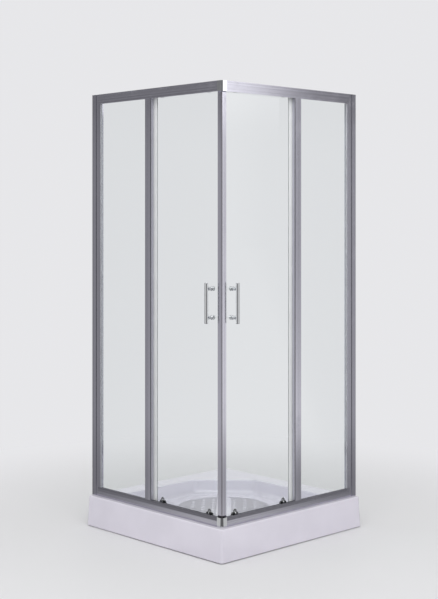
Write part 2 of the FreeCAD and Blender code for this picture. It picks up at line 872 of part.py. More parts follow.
def waste_cover():
    """Domed cover on a short ring that stands in the throat, with slots for the water."""
    wide = sheet.cover_diameter / 2
    wall = sheet.waste_wall
    low = seat_level + sheet.waste_flange_height
    under = low + sheet.cover_slot
    ring_out = throat - sheet.slide_gap
    ring_low = seat_level - sheet.waste_skirt_length + wall * 2 + sheet.slide_gap
    crown = sheet.cover_rise - wall * 0.6
    radius = (wide * wide + crown * crown) / (crown * 2)
    ball = sphere("cover_ball", waste_x, waste_y, under + sheet.cover_rise - radius, radius)
    disc = cylinder("cover_disc", waste_x, waste_y, under, wide, sheet.cover_rise)
    dome = boolean("Common", "cover_dome", ball, disc)
    ring = turned_piece("cover_ring", [(ring_out - wall, ring_low), (ring_out, ring_low),
                                       (ring_out, under + wall * 0.2), (ring_out - wall, under + wall * 0.2)],
                        waste_x, waste_y, 0)
    gap = wall * 3
    reach = wide + sheet.overrun
    slots = []
    for number, (along, span) in enumerate(((reach, gap), (gap, reach)), start=1):
        slots.append(box("cover_slot_%d" % number, (waste_x - along, waste_y - span, low + wall * 0.2 - gap),
                         (waste_x + along, waste_y + span, under)))
    return boolean("Fuse", "waste_cover", dome, boolean("Cut", "cover_legs", ring,
                                                         group("cover_slots", slots)))


# Frame of the left side


def wall_channel():
    """U channel that is screwed to the wall and takes the upright."""
    wall = sheet.channel_wall
    near = across(rail_out)
    far = near + sheet.channel_depth
    start = -half
    end = start + sheet.channel_reach
    outline = [(start, near), (end, near), (end, near + wall), (start + wall, near + wall),
               (start + wall, far - wall), (end, far - wall), (end, far), (start, far)]
    body = upright_piece("wall_channel_form", [outline], rim, frame_top)
    middle = rim + sheet.frame_height / 2
    step = sheet.wall_hole_spacing / 2
    drill(body, [(near + sheet.channel_depth / 2, middle + step * turn) for turn in (-1, 0, 1)],
          sheet.wall_hole_diameter / 2, wall + sheet.overrun, "YZ_Plane", start, reverse=True)
    return boolean("Cut", "left_wall_channel", body, screw_cuts)


def upright_inner_face():
    """Depth of the inner face of the upright, inside the wall channel."""
    return rail_out + sheet.channel_depth - sheet.channel_wall - sheet.slide_gap


def side_upright():
    """Hollow upright in the wall channel, with the pane's pocket between the rails."""
    wall = sheet.inner_wall
    near = across(rail_out + sheet.channel_wall + sheet.slide_gap)
    far = across(upright_inner_face())
    start = sheet.channel_wall_gap - half
    outer = [(start, near), (rail_start, near), (rail_start, far), (start, far)]
    inner = [(start + wall, near + wall), (rail_start - wall, near + wall),
             (rail_start - wall, far - wall), (start + wall, far - wall)]
    box_part = upright_piece("upright_box", [outer, inner], rim, frame_top)
    lap = wall / 2
    pocket_outline = [(rail_start - lap, near), (pocket_end, near), (pocket_end, near + wall),
                      (rail_start, near + wall), (rail_start, across(partition_out)),
                      (pocket_end, across(partition_out)), (pocket_end, across(partition_in)),
                      (rail_start - lap, across(partition_in))]
    pocket_part = upright_piece("upright_pocket", [pocket_outline], bottom_rail_high, top_rail_low)
    whole = boolean("Fuse", "upright_whole", box_part, pocket_part)
    return boolean("Cut", "left_side_upright", whole, screw_cuts)


def rail_notch(body, low, high):
    """Cut the inner part of a rail back, clear of the other side's door."""
    sketch = new_sketch(body, "XY_Plane", low - sheet.overrun)
    near = across(partition_in)
    far = across(rail_in + sheet.overrun)
    draw_outline(sketch, [(notch, near), (rail_end + sheet.overrun, near),
                          (rail_end + sheet.overrun, far), (notch, far)])
    pocket(body, sketch, high - low + sheet.overrun * 2, reverse=True)
    return body


def top_rail():
    """Rail at the head: a channel for the pane and a lip with a bead for the wheels."""
    wall = sheet.rail_wall
    lip = top_lip
    bead = sheet.bead_width / 2
    outline = [(rail_out, top_rail_low), (fixed_out - sheet.running_gap, top_rail_low),
               (fixed_out - sheet.running_gap, top_rail_low + wall), (rail_out + wall, top_rail_low + wall),
               (rail_out + wall, frame_top - wall), (partition_out, frame_top - wall),
               (partition_out, lip + wall * 2), (partition_in, lip + wall * 2),
               (partition_in, frame_top - wall), (rail_in - wall, frame_top - wall),
               (rail_in - wall, lip), (track + bead, lip), (track + bead, top_bead),
               (track - bead, top_bead), (track - bead, lip), (lip_edge, lip),
               (lip_edge, lip - wall), (rail_in, lip - wall), (rail_in, frame_top),
               (rail_out, frame_top)]
    body = long_piece("left_top_rail", [[(across(depth), z) for depth, z in outline]],
                      rail_start, rail_end)
    return rail_notch(body, top_rail_low, frame_top)


def bottom_rail():
    """Rail at the foot: a bevelled face, a channel for the pane and a hooked inner lip."""
    wall = sheet.rail_wall
    lip = bottom_lip
    bead = sheet.bead_width / 2
    shoulder = bottom_rail_high - sheet.bottom_rail_bevel_height
    ridge = rail_out + sheet.bottom_rail_bevel_width
    outline = [(rail_out, rim), (rail_out, shoulder), (ridge, bottom_rail_high),
               (ridge + sheet.inner_wall, bottom_rail_high), (rail_out + wall, shoulder + wall / 2),
               (rail_out + wall, rim + wall), (partition_out, rim + wall),
               (partition_out, bottom_rail_high), (partition_in, bottom_rail_high),
               (partition_in, rim + wall), (rail_in - wall, rim + wall), (rail_in - wall, lip - wall),
               (track + bead, lip - wall), (track + bead, bottom_bead), (track - bead, bottom_bead),
               (track - bead, lip - wall), (lip_edge, lip - wall), (lip_edge, lip),
               (rail_in, lip), (rail_in, rim)]
    body = long_piece("left_bottom_rail", [[(across(depth), z) for depth, z in outline]],
                      rail_start, rail_end)
    return rail_notch(body, rim, bottom_rail_high)


def fixed_glass():
    """Fixed pane."""
    outline = [(fixed_start, across(fixed_out)), (fixed_end, across(fixed_out)),
               (fixed_end, across(fixed_in)), (fixed_start, across(fixed_in))]
    return upright_piece("left_fixed_glass", [outline], fixed_low, fixed_high)


def glazing_gasket():
    """Rubber in the two rails and the two pockets that the fixed pane is pressed into."""
    wall = sheet.inner_wall
    near = across(rail_out + sheet.rail_wall)
    out = across(fixed_out)
    inn = across(fixed_in)
    far = across(partition_out)
    foot = rim + sheet.rail_wall
    head = frame_top - sheet.rail_wall
    foot_top = bottom_rail_high - sheet.bottom_rail_bevel_height
    head_low = top_lip + sheet.rail_wall * 2
    below = [(near, foot), (far, foot), (far, foot_top), (inn, foot_top), (inn, fixed_low),
             (out, fixed_low), (out, foot_top), (near, foot_top)]
    above = [(near, head), (far, head), (far, head_low), (inn, head_low), (inn, fixed_high),
             (out, fixed_high), (out, head_low), (near, head_low)]
    lower = long_piece("gasket_foot", [below], fixed_start, fixed_end)
    upper = long_piece("gasket_head", [above], fixed_start, fixed_end)
    pocket_near = across(rail_out + sheet.channel_wall + sheet.slide_gap) + wall
    wall_side = upright_piece("gasket_wall_side", [[(rail_start, pocket_near), (pocket_end, pocket_near),
                                                    (pocket_end, out), (fixed_start, out),
                                                    (fixed_start, inn), (pocket_end, inn), (pocket_end, far),
                                                    (rail_start, far)]], bottom_rail_high, top_rail_low)
    meeting_near = across(rail_out + sheet.meeting_profile_face) + wall
    end = meeting_start + sheet.pocket_depth
    door_side = upright_piece("gasket_door_side", [[(end, meeting_near), (end, far), (meeting_start, far),
                                                    (meeting_start, inn), (fixed_end, inn), (fixed_end, out),
                                                    (meeting_start, out), (meeting_start, meeting_near)]],
                              bottom_rail_high, top_rail_low)
    return group("left_glazing_gasket", [lower, upper, wall_side, door_side])


def meeting_profile():
    """Upright profile on the pane's free edge: a pocket, a hollow and a stepped face."""
    wall = sheet.inner_wall
    near = across(rail_out + sheet.meeting_profile_face)
    far = across(partition_out) + wall
    bed = meeting_start + sheet.pocket_depth
    step = sheet.meeting_profile_step
    outline = [(meeting_start, near), (bed, near), (bed + step, near - step / 2),
               (meeting_end - step, near - step / 2), (meeting_end, near + step / 2), (meeting_end, far),
               (meeting_start, far), (meeting_start, far - wall), (bed, far - wall),
               (bed, near + wall), (meeting_start, near + wall)]
    hollow = [(bed + wall, near + wall), (meeting_end - wall, near + wall),
              (meeting_end - wall, far - wall), (bed + wall, far - wall)]
    return upright_piece("left_meeting_profile", [outline, hollow], bottom_rail_high, top_rail_low)


def door_stops():
    """Two rubber blocks on the head rail's lip that end the door's travel."""
    reach = wheel_radius
    length = sheet.stop_length
    rear_end = roller_places[1] - reach - sheet.door_travel - sheet.slide_gap
    front_start = roller_places[0] + reach + sheet.slide_gap
    low = top_lip
    bead = sheet.bead_width / 2
    high = top_axle + axle_radius
    near = across(lip_edge)
    far = across(rail_in - sheet.rail_wall)
    outline = [(near, low), (across(track - bead), low), (across(track - bead), top_bead),
               (across(track + bead), top_bead), (across(track + bead), low), (far, low), (far, high),
               (near, high)]
    return group("left_door_stops", [long_piece("stop_open", [outline], rear_end - length, rear_end),
                                     long_piece("stop_closed", [outline], front_start, front_start + length)])


def upright_screws():
    """Pan head screws through each wall channel's inner side into its upright."""
    shank = sheet.screw_diameter / 2
    head = sheet.screw_head_diameter / 2
    neck = sheet.screw_length
    top = neck + sheet.screw_head_height
    outline = [(0, 0), (shank, 0), (shank, neck), (head, neck),
               (head, neck + sheet.screw_head_height * 0.6), (head * 0.6, top), (0, top)]
    left_side = group("upright_screws_left", [turned_piece("screw_%d" % number, outline, x, y, z, INWARD)
                                              for number, (x, y, z) in enumerate(screw_places(), start=1)])
    return group("upright_screws", [left_side, mirrored("upright_screws_right", left_side)])


def screw_places():
    """Tips of the screws that hold the left upright in its channel."""
    edge = sheet.bottom_rail_height * 2
    middle = rim + sheet.frame_height / 2
    x = sheet.channel_reach * 0.7 - half
    y = across(rail_out + sheet.channel_depth) - sheet.screw_length
    return [(x, y, z) for z in (rim + edge, middle + edge, frame_top - edge)]


def screw_holes():
    """Tools that cut the screws' holes into the channel and the upright."""
    reach = sheet.screw_length + sheet.overrun
    outline = [(0, 0), (sheet.screw_diameter / 2, 0), (sheet.screw_diameter / 2, reach), (0, reach)]
    return group("screw_holes", [turned_piece("screw_hole_%d" % number, outline, x, y, z, INWARD)
                                 for number, (x, y, z) in enumerate(screw_places(), start=1)])


# Corner castings that join the two sides


def corner_plan():
    """The piece of the corner between the ends of both sides' rails, seen from above."""
    out = rail_out - sheet.corner_proud
    arm = rail_out + sheet.corner_arm
    deep = half - notch
    steps = [(out, out), (arm, out), (arm, partition_in), (deep, partition_in),
             (deep, deep), (partition_in, deep), (partition_in, arm), (out, arm)]
    return [(half - a, b - half) for a, b in steps]


def corner_shell(label, low, high, plate_low, plate_high):
    """Outer wall with a round corner, and a level plate behind it."""
    out = rail_out - sheet.corner_proud
    inn = rail_out + sheet.corner_wall - sheet.corner_proud
    arm = rail_out + sheet.corner_arm
    wall_outline = [(half - a, b - half) for a, b in ((out, out), (arm, out), (arm, inn), (inn, inn),
                                                      (inn, arm), (out, arm))]
    body = new_body(label + "_form")
    sketch = new_sketch(body, "XY_Plane", low)
    draw_outline(sketch, wall_outline)
    pad(body, sketch, high - low)
    plate = new_sketch(body, "XY_Plane", plate_low)
    draw_outline(plate, corner_plan())
    pad(body, plate, plate_high - plate_low)
    fillet(body, sheet.corner_radius, is_upright_at(half - out))
    fillet(body, sheet.corner_radius - sheet.corner_wall, is_upright_at(half - inn))
    return body


def corner_arms(label, low, high):
    """Tongues that reach into both sides' pane channels."""
    near = across(rail_out + sheet.rail_wall + sheet.slide_gap)
    far = across(partition_out - sheet.slide_gap)
    start = rail_end - sheet.corner_arm
    end = half - rail_out - sheet.corner_radius
    arm = box(label + "_left_arm", (start, near, low), (end, far, high))
    return arm, mirrored(label + "_right_arm", arm)


def corner_connector(label, low, high, plate_low, plate_high, arm_low, arm_high):
    """Cast corner piece: shell, plate and the two tongues in one."""
    left, right = corner_arms(label, arm_low, arm_high)
    arms = boolean("Fuse", label + "_arms", left, right)
    return boolean("Fuse", label, corner_shell(label, low, high, plate_low, plate_high), arms)


def top_corner_connector():
    """Casting at the head of the entry corner."""
    return corner_connector("top_corner_connector", top_rail_low, frame_top,
                            frame_top - sheet.corner_wall, frame_top,
                            top_lip + sheet.rail_wall * 2, frame_top - sheet.rail_wall - sheet.slide_gap)


def bottom_corner_connector():
    """Casting at the foot of the entry corner."""
    return corner_connector("bottom_corner_connector", rim, bottom_rail_high, rim,
                            rim + sheet.corner_wall, rim + sheet.rail_wall + sheet.slide_gap,
                            rim + sheet.bottom_rail_height / 2)


# Door of the left side


def glass_hole_places():
    """Where the door's pane is drilled: handle posts, head brackets and foot rollers."""
    places = [(handle_x, sheet.handle_height + sheet.handle_spacing / 2 * turn) for turn in (-1, 1)]
    places += [(x, top_bolt) for x in roller_places]
    places += [(x, bottom_bolt) for x in roller_places]
    return places


def door_glass():
    """Sliding pane with its six holes."""
    outline = [(door_start, across(door_out)), (door_end, across(door_out)),
               (door_end, across(door_in)), (door_start, across(door_in))]
    body = upright_piece("left_door_glass", [outline], door_low, door_high)
    drill(body, glass_hole_places(), sheet.glass_hole_diameter / 2, sheet.glass + sheet.overrun * 2,
          "XZ_Plane", -across(door_out) + sheet.overrun)
    return body


def door_stile():
    """Leading profile of the door: it grips the pane and ends in a 45 degree face."""
    wall = sheet.stile_wall
    near = across(stile_out)
    far = across(stile_in)
    back_tip = stile_tip - (stile_in - stile_out)
    bed = stile_start + sheet.stile_grip
    outline = [(stile_start, near), (stile_tip, near), (back_tip, far), (stile_start, far),
               (stile_start, across(door_in)), (bed, across(door_in)), (bed, across(door_out)),
               (stile_start, across(door_out))]
    slope_end = stile_tip - wall * math.sqrt(2)
    hollow = [(bed + wall, near + wall), (slope_end - wall, near + wall),
              (bed + wall, near + slope_end - bed - wall)]
    return upright_piece("left_door_stile", [outline, hollow], door_low, door_high)


def door_magnet():
    """Magnetic strip on the stile's 45 degree face, up to the plane where the doors meet."""
    thick = sheet.stile_corner_gap - sheet.slide_gap
    near = across(stile_out)
    run = sheet.magnet_width / math.sqrt(2)
    inset = (stile_in - stile_out - run) / 2
    first = (stile_tip - inset, near + inset)
    last = (first[0] - run, first[1] + run)
    outline = [first, (first[0] + thick / 2, first[1] + thick / 2),
               (last[0] + thick / 2, last[1] + thick / 2), last]
    return upright_piece("left_door_magnet", [outline], door_low, door_high)


def door_edge_seal():
    """Clip with a fin on the door's trailing edge."""
    wall = sheet.edge_seal_wall
    start = door_start - wall
    end = start + sheet.edge_seal_width
    near = across(door_out) - wall
    far = across(door_in) + wall
    fin = start + wall * 3
    tip = near - sheet.edge_seal_fin
    outline = [(start, near), (fin, near), (fin, tip), (fin + wall, tip), (fin + wall, near), (end, near),
               (end, across(door_out)), (door_start, across(door_out)), (door_start, across(door_in)),
               (end, across(door_in)), (end, far), (start, far)]
    return upright_piece("left_door_edge_seal", [outline], door_low, door_high)


def handle():
    """Round bar with rounded ends on two posts that widen towards the pane."""
    radius = sheet.handle_diameter / 2
    length = sheet.handle_length
    depth = door_out - sheet.handle_stand
    bar = turned_piece("handle_bar", [(0, 0), (radius, 0), (radius, length), (0, length)], handle_x,
                       across(depth), sheet.handle_height - length / 2)
    fillet(bar, radius * 0.25, lambda edge: is_level_at(0)(edge) or is_level_at(length)(edge))
    post = sheet.handle_post_diameter / 2
    foot = sheet.handle_foot_diameter / 2
    reach = sheet.handle_stand - sheet.handle_washer
    tall = sheet.handle_foot_height
    post_outline = [(0, 0), (foot, 0), (foot, tall * 0.6), (post, tall), (post, reach), (0, reach)]
    posts = [turned_piece("handle_post_%d" % number, post_outline, handle_x,
                          across(door_out - sheet.handle_washer), z, TOWARDS_FRONT)
             for number, z in enumerate(handle_levels(), start=1)]
    return joined("left_handle", [bar] + posts)


def handle_levels():
    """Heights of the handle's two posts."""
    step = sheet.handle_spacing / 2
    return (sheet.handle_height - step, sheet.handle_height + step)


def handle_washers():
    """Clear washers between metal and glass, with a sleeve in each hole."""
    foot = sheet.handle_foot_diameter / 2
    bore = sheet.glass_bolt_diameter / 2
    sleeve = sheet.glass_hole_diameter / 2 - sheet.slide_gap
    washer = sheet.handle_washer
    outline = [(bore, -washer), (foot, -washer), (foot, 0), (sleeve, 0), (sleeve, sheet.glass / 2),
               (bore, sheet.glass / 2)]
    washers = []
    for number, z in enumerate(handle_levels(), start=1):
        washers.append(turned_piece("washer_outside_%d" % number, outline, handle_x, across(door_out), z,
                                    INWARD))
        washers.append(turned_piece("washer_inside_%d" % number, outline, handle_x, across(door_in), z,
                                    TOWARDS_FRONT))
    return group("left_handle_washers", washers)


def handle_caps():
    """Domed nuts on the inside, each with its bolt through the pane into the post."""
    foot = sheet.handle_foot_diameter / 2
    bolt = sheet.glass_bolt_diameter / 2
    washer = sheet.handle_washer
    tall = sheet.handle_cap_height
    through = sheet.glass + washer
    outline = [(0, -through - washer), (bolt, -through - washer), (bolt, 0), (foot, 0), (foot, tall * 0.5),
               (foot * 0.6, tall), (0, tall)]
    return group("left_handle_caps", [turned_piece("handle_cap_%d" % number, outline, handle_x,
                                                   across(door_in) + washer, z, INWARD)
                                      for number, z in enumerate(handle_levels(), start=1)])


def axle_outline(start):
    """Half section of a headed pin that a wheel turns on, from the plate's face."""
    wheel_far = track - door_in + sheet.wheel_width / 2
    shoulder = wheel_far + sheet.wheel_gap
    return [(0, start), (axle_radius, start), (axle_radius, shoulder),
            (sheet.axle_head_diameter / 2, shoulder),
            (sheet.axle_head_diameter / 2, shoulder + sheet.axle_head_height),
            (0, shoulder + sheet.axle_head_height)]


def top_bracket(number, x):
    """Plate on the inner face of the pane, above its edge, with the wheel's axle."""
    reach = sheet.bracket_width / 2
    name = "top_bracket_%d" % number
    plate_high = top_axle + sheet.axle_diameter
    shoulder = sheet.axle_diameter
    low = top_bolt - sheet.glass_cap_diameter / 2
    body = new_body(name + "_plate")
    sketch = new_sketch(body, "XZ_Plane", -across(door_in))
    left = x - reach
    right = x + reach
    draw_outline(sketch, [(left + shoulder, low), (right - shoulder, low), (right, low + shoulder),
                          (right, top_axle), (x + shoulder, plate_high), (x - shoulder, plate_high),
                          (left, top_axle), (left, low + shoulder)])
    pad(body, sketch, sheet.bracket_plate, reverse=True)
    axle = turned_piece(name + "_axle", axle_outline(sheet.bracket_plate / 2), x, across(door_in),
                        top_axle, INWARD)
    bolt = turned_piece(name + "_bolt", glass_bolt_outline(sheet.glass_cap_diameter, sheet.bracket_plate / 2),
                        x, across(door_in), top_bolt, INWARD)
    return boolean("Fuse", name, boolean("Fuse", name + "_with_axle", body, axle), bolt)


def glass_bolt_outline(cap_diameter, start):
    """Half section of the capped bolt that clamps a bracket through the pane."""
    cap = cap_diameter / 2
    bolt = sheet.glass_bolt_diameter / 2
    tall = sheet.glass_cap_height
    face = -sheet.glass
    return [(0, face - tall), (cap * 0.8, face - tall), (cap, face - tall / 2), (cap, face), (bolt, face),
            (bolt, start), (0, start)]


def top_brackets():
    """Both head brackets of the door."""
    return group("left_top_brackets", [top_bracket(number, x)
                                       for number, x in enumerate(roller_places, start=1)])


def wheel(label, x, z):
    """Grooved wheel on its axle."""
    reach = sheet.wheel_width / 2
    bore = axle_radius + sheet.axle_clearance
    floor = sheet.bead_width / 2 + sheet.slide_gap
    mouth = floor + sheet.groove_depth / 2
    outline = [(bore, -reach), (wheel_radius, -reach), (wheel_radius, -mouth), (rolling_radius, -floor),
               (rolling_radius, floor), (wheel_radius, mouth), (wheel_radius, reach), (bore, reach)]
    return turned_piece(label, outline, x, across(track), z, INWARD)


def roller_housing(number, x):
    """Tapered housing on the pane's inner face with two slots for the yoke's legs."""
    name = "roller_housing_%d" % number
    wide = sheet.housing_width / 2
    top = sheet.housing_top_width / 2
    body = new_body(name + "_form")
    sketch = new_sketch(body, "XZ_Plane", -across(door_in))
    shoulder = housing_low + sheet.housing_height * 0.4
    draw_outline(sketch, [(x - wide, housing_low), (x + wide, housing_low), (x + wide, shoulder),
                          (x + top, housing_high), (x - top, housing_high), (x - wide, shoulder)])
    pad(body, sketch, sheet.housing_depth, reverse=True)
    near = across(door_in + sheet.running_gap - sheet.slide_gap)
    far = near + sheet.yoke_thickness + sheet.slide_gap * 2
    outer = sheet.yoke_width / 2
    inner = outer - sheet.yoke_leg
    slots = new_sketch(body, "XY_Plane", housing_low - sheet.overrun)
    for side in (-1, 1):
        ends = (x + (inner - sheet.slide_gap) * side, x + (outer + sheet.slide_gap) * side)
        draw_outline(slots, [(ends[0], near), (ends[1], near), (ends[1], far), (ends[0], far)])
    pocket(body, slots, sheet.housing_height + sheet.overrun * 2, reverse=True)
    bolt = turned_piece(name + "_bolt", glass_bolt_outline(sheet.roller_cap_diameter, sheet.running_gap / 2),
                        x, across(door_in), bottom_bolt, INWARD)
    return boolean("Fuse", name, body, bolt)


def roller_housings():
    """Both foot roller housings of the door."""
    return group("left_roller_housings", [roller_housing(number, x)
                                          for number, x in enumerate(roller_places, start=1)])


def release_yoke(label, x):
    """Button, two legs and a foot plate with the axle of the hooked wheel."""
    outer = sheet.yoke_width / 2
    inner = outer - sheet.yoke_leg
    button = sheet.yoke_button_width / 2
    plate_high = bottom_lip - sheet.rail_wall
    low = bottom_axle - sheet.axle_diameter
    bridge = housing_high + sheet.release_travel + sheet.running_gap / 2
    top = bridge + sheet.yoke_button_height
    body = new_body(label + "_form")
    sketch = new_sketch(body, "XZ_Plane", -across(door_in + sheet.running_gap))
    draw_outline(sketch, [(x - outer, low), (x + outer, low), (x + outer, bridge + sheet.yoke_leg),
                          (x + button, top), (x - button, top), (x - outer, bridge + sheet.yoke_leg)])
    draw_outline(sketch, [(x - inner, plate_high), (x - inner, bridge), (x + inner, bridge),
                          (x + inner, plate_high)])
    pad(body, sketch, sheet.yoke_thickness, reverse=True)
    axle = turned_piece(label + "_axle", axle_outline(sheet.running_gap + sheet.yoke_thickness / 2),
                        x, across(door_in), bottom_axle, INWARD)
    return boolean("Fuse", label, body, axle)


# Build every sub-part, left side first and its mirror image after it

screw_cuts = screw_holes()
nodes = [shower_tray(), long_tubes(), cross_tubes(), foot_pads(), foot_rods(), foot_nuts(), waste_flange(),
         trap_gasket(), waste_trap(), dip_tube(), waste_cover(), top_corner_connector(),
         bottom_corner_connector(), upright_screws()]
left = [make() for make in (wall_channel, side_upright, top_rail, bottom_rail, fixed_glass,
                            glazing_gasket, meeting_profile, door_stops, door_glass, door_stile,
                            door_magnet, door_edge_seal, handle, handle_washers, handle_caps,
                            top_brackets, roller_housings)]
for place, name in zip(roller_places, roller_names):
    left.append(wheel("left_top_wheel_" + name, place, top_axle))
    left.append(release_yoke("left_release_yoke_" + name, place))
    left.append(wheel("left_bottom_wheel_" + name, place, bottom_axle))
nodes += left
nodes += [mirrored(piece.Label.replace("left_", "right_"), piece) for piece in left]

doc.recompute()

# Check every object, then write one file for each sub-part

for item in doc.Objects:
    if "Invalid" in item.State or "Error" in item.State:
        raise ValueError("%s did not compute: %s" % (item.Label, item.State))
for piece in nodes:
    if piece.Shape.isNull() or not piece.Shape.isValid():
        raise ValueError("%s has no valid shape" % piece.Label)
    if not re.fullmatch(r"[A-Za-z0-9_.-]{1,59}", piece.Label):
        raise ValueError("%s is no file name" % piece.Label)

os.makedirs("parts", exist_ok=True)
for piece in nodes:
    piece.Shape.exportStep("parts/%s.step" % piece.Label)
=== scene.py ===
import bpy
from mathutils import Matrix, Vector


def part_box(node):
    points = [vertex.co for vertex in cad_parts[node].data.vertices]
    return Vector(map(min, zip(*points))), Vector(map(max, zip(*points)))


bl_info = {
    "name": "Corner shower enclosure",
    "version": (1, 0, 0),
    "blender": (4, 5, 0),
    "location": "3D View > Sidebar > Shower",
    "description": "Dresses a corner shower enclosure and sets its studio",
    "category": "Object",
}

import math

import bpy
from mathutils import Euler, Vector

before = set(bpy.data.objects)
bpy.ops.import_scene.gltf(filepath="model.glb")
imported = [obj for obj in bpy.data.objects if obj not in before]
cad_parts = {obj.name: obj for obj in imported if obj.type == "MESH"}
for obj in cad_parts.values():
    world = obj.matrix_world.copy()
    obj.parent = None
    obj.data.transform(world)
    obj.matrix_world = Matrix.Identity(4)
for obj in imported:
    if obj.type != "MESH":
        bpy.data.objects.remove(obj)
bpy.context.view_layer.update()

SIDES = ("left", "right")
MM = 0.001
TURN = 2 * math.pi
# The right door's pane lies between these two distances from the middle, along X
DOOR_PANE = [corner.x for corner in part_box("right_door_glass")]
# The right handle's bar lies outermost, up to this distance from the middle along X, and is this thick
HANDLE_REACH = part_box("right_handle")[1].x
HANDLE_BAR = 16 * MM


# Shader trees


class Wire:
    """An output socket of a shader tree. Python's arithmetic on it adds Math nodes."""

    def __init__(self, finish, socket):
        self.finish = finish
        self.socket = socket

    def step(self, operation, *others):
        values = {number: other for number, other in enumerate((self,) + others)}
        return self.finish.node("ShaderNodeMath", {"operation": operation}, values)

    def __add__(self, other):
        return self.step("ADD", other)

    def __sub__(self, other):
        return self.step("SUBTRACT", other)

    def __rsub__(self, other):
        return self.step("MULTIPLY", -1) + other

    def __mul__(self, other):
        return self.step("MULTIPLY", other)

    def __truediv__(self, other):
        return self.step("DIVIDE", other)

    def __lt__(self, other):
        return self.step("LESS_THAN", other)

    def __gt__(self, other):
        return self.step("GREATER_THAN", other)

    __radd__ = __add__

    def size(self):
        return self.step("ABSOLUTE")

    def sine(self):
        return self.step("SINE")

    def power(self, exponent):
        return self.step("POWER", exponent)

    def largest(self, other):
        return self.step("MAXIMUM", other)

    def ramp(self, low, high, first=0.0, last=1.0):
        """Carry the range from low to high over to first to last, smoothly, and hold it outside."""
        settings = {"interpolation_type": "SMOOTHSTEP"}
        values = {"Value": self, "From Min": low, "From Max": high, "To Min": first, "To Max": last}
        return self.finish.node("ShaderNodeMapRange", settings, values)

    def part(self, name):
        """Another output of the same node."""
        return Wire(self.finish, self.socket.node.outputs[name])


class Finish:
    """A material whose nodes are added one call at a time."""

    def __init__(self, name):
        self.material = bpy.data.materials.new(name)
        self.material.use_nodes = True
        self.tree = self.material.node_tree
        self.tree.nodes.clear()

    @classmethod
    def over(cls, world):
        """The same node calls for a world's tree."""
        finish = cls.__new__(cls)
        finish.tree = world.node_tree
        return finish

    def node(self, kind, settings=None, values=None):
        """Add a node, set its properties, then fill its sockets with values or links."""
        node = self.tree.nodes.new(kind)
        for name, value in (settings or {}).items():
            if name == "stops":
                self.set_stops(node.color_ramp, value)
            else:
                setattr(node, name, value)
        for name, value in (values or {}).items():
            socket = node.inputs[name]
            if isinstance(value, Wire):
                self.tree.links.new(value.socket, socket)
            else:
                socket.default_value = value
        outputs = [socket for socket in node.outputs if socket.enabled]
        return Wire(self, outputs[0]) if outputs else None

    def set_stops(self, ramp, stops):
        """Give a colour ramp its places and colours."""
        while len(ramp.elements) < len(stops):
            ramp.elements.new(1.0)
        for element, (place, colour) in zip(ramp.elements, stops):
            element.position = place
            element.color = rgba(colour)

    def place(self, scale=(1, 1, 1)):
        """Object coordinates in metres, scaled along each axis."""
        point = self.node("ShaderNodeTexCoord").part("Object")
        return self.node("ShaderNodeMapping", {}, {"Vector": point, "Scale": scale})

    def split(self, vector):
        """The three parts of a vector as separate values."""
        parts = self.node("ShaderNodeSeparateXYZ", {}, {"Vector": vector})
        return parts.part("X"), parts.part("Y"), parts.part("Z")

    def axes(self):
        """The three Object coordinates as separate values."""
        return self.split(self.node("ShaderNodeTexCoord").part("Object"))

    def outwards(self):
        """Distance from the middle along X or Y, whichever is more."""
        x, y, _ = self.axes()
        return x.size().largest(y.size())

    def noise(self, scale, detail=2.0, place=None, roughness=0.5):
        """Soft noise from 0 to 1, its grain set in features per metre."""
        values = {"Vector": place or self.place(), "Scale": scale, "Detail": detail, "Roughness": roughness}
        return self.node("ShaderNodeTexNoise", {}, values)

    def blend(self, share, first, second):
        """Mix two colours by a share."""
        node = self.tree.nodes.new("ShaderNodeMix")
        node.data_type = "RGBA"
        sockets = {socket.identifier: socket for socket in node.inputs}
        for name, value in (("Factor_Float", share), ("A_Color", first), ("B_Color", second)):
            if isinstance(value, Wire):
                self.tree.links.new(value.socket, sockets[name])
            elif name == "Factor_Float":
                sockets[name].default_value = value
            else:
                sockets[name].default_value = rgba(value)
        outputs = [socket for socket in node.outputs if socket.enabled]
        return Wire(self, outputs[0])

    def bump(self, height, distance, strength):
        """Turn a height in units of distance, in metres, into a normal."""
        return self.node("ShaderNodeBump", {}, {"Height": height, "Distance": distance, "Strength": strength})

    def surface(self, values):
        """The usual surface shader, without the output node."""
        return self.node("ShaderNodeBsdfPrincipled", {}, values)

    def close(self, shader):
        """Plug a shader into the output and hand the material over."""
        self.node("ShaderNodeOutputMaterial", {}, {"Surface": shader})
        return self.material


def rgba(colour):
    """A colour with its alpha."""
    return tuple(colour)[:3] + (1.0,)


def dimmed(colour, share):
    """A colour at a share of its brightness."""
    return [channel * share for channel in colour]


# Finishes


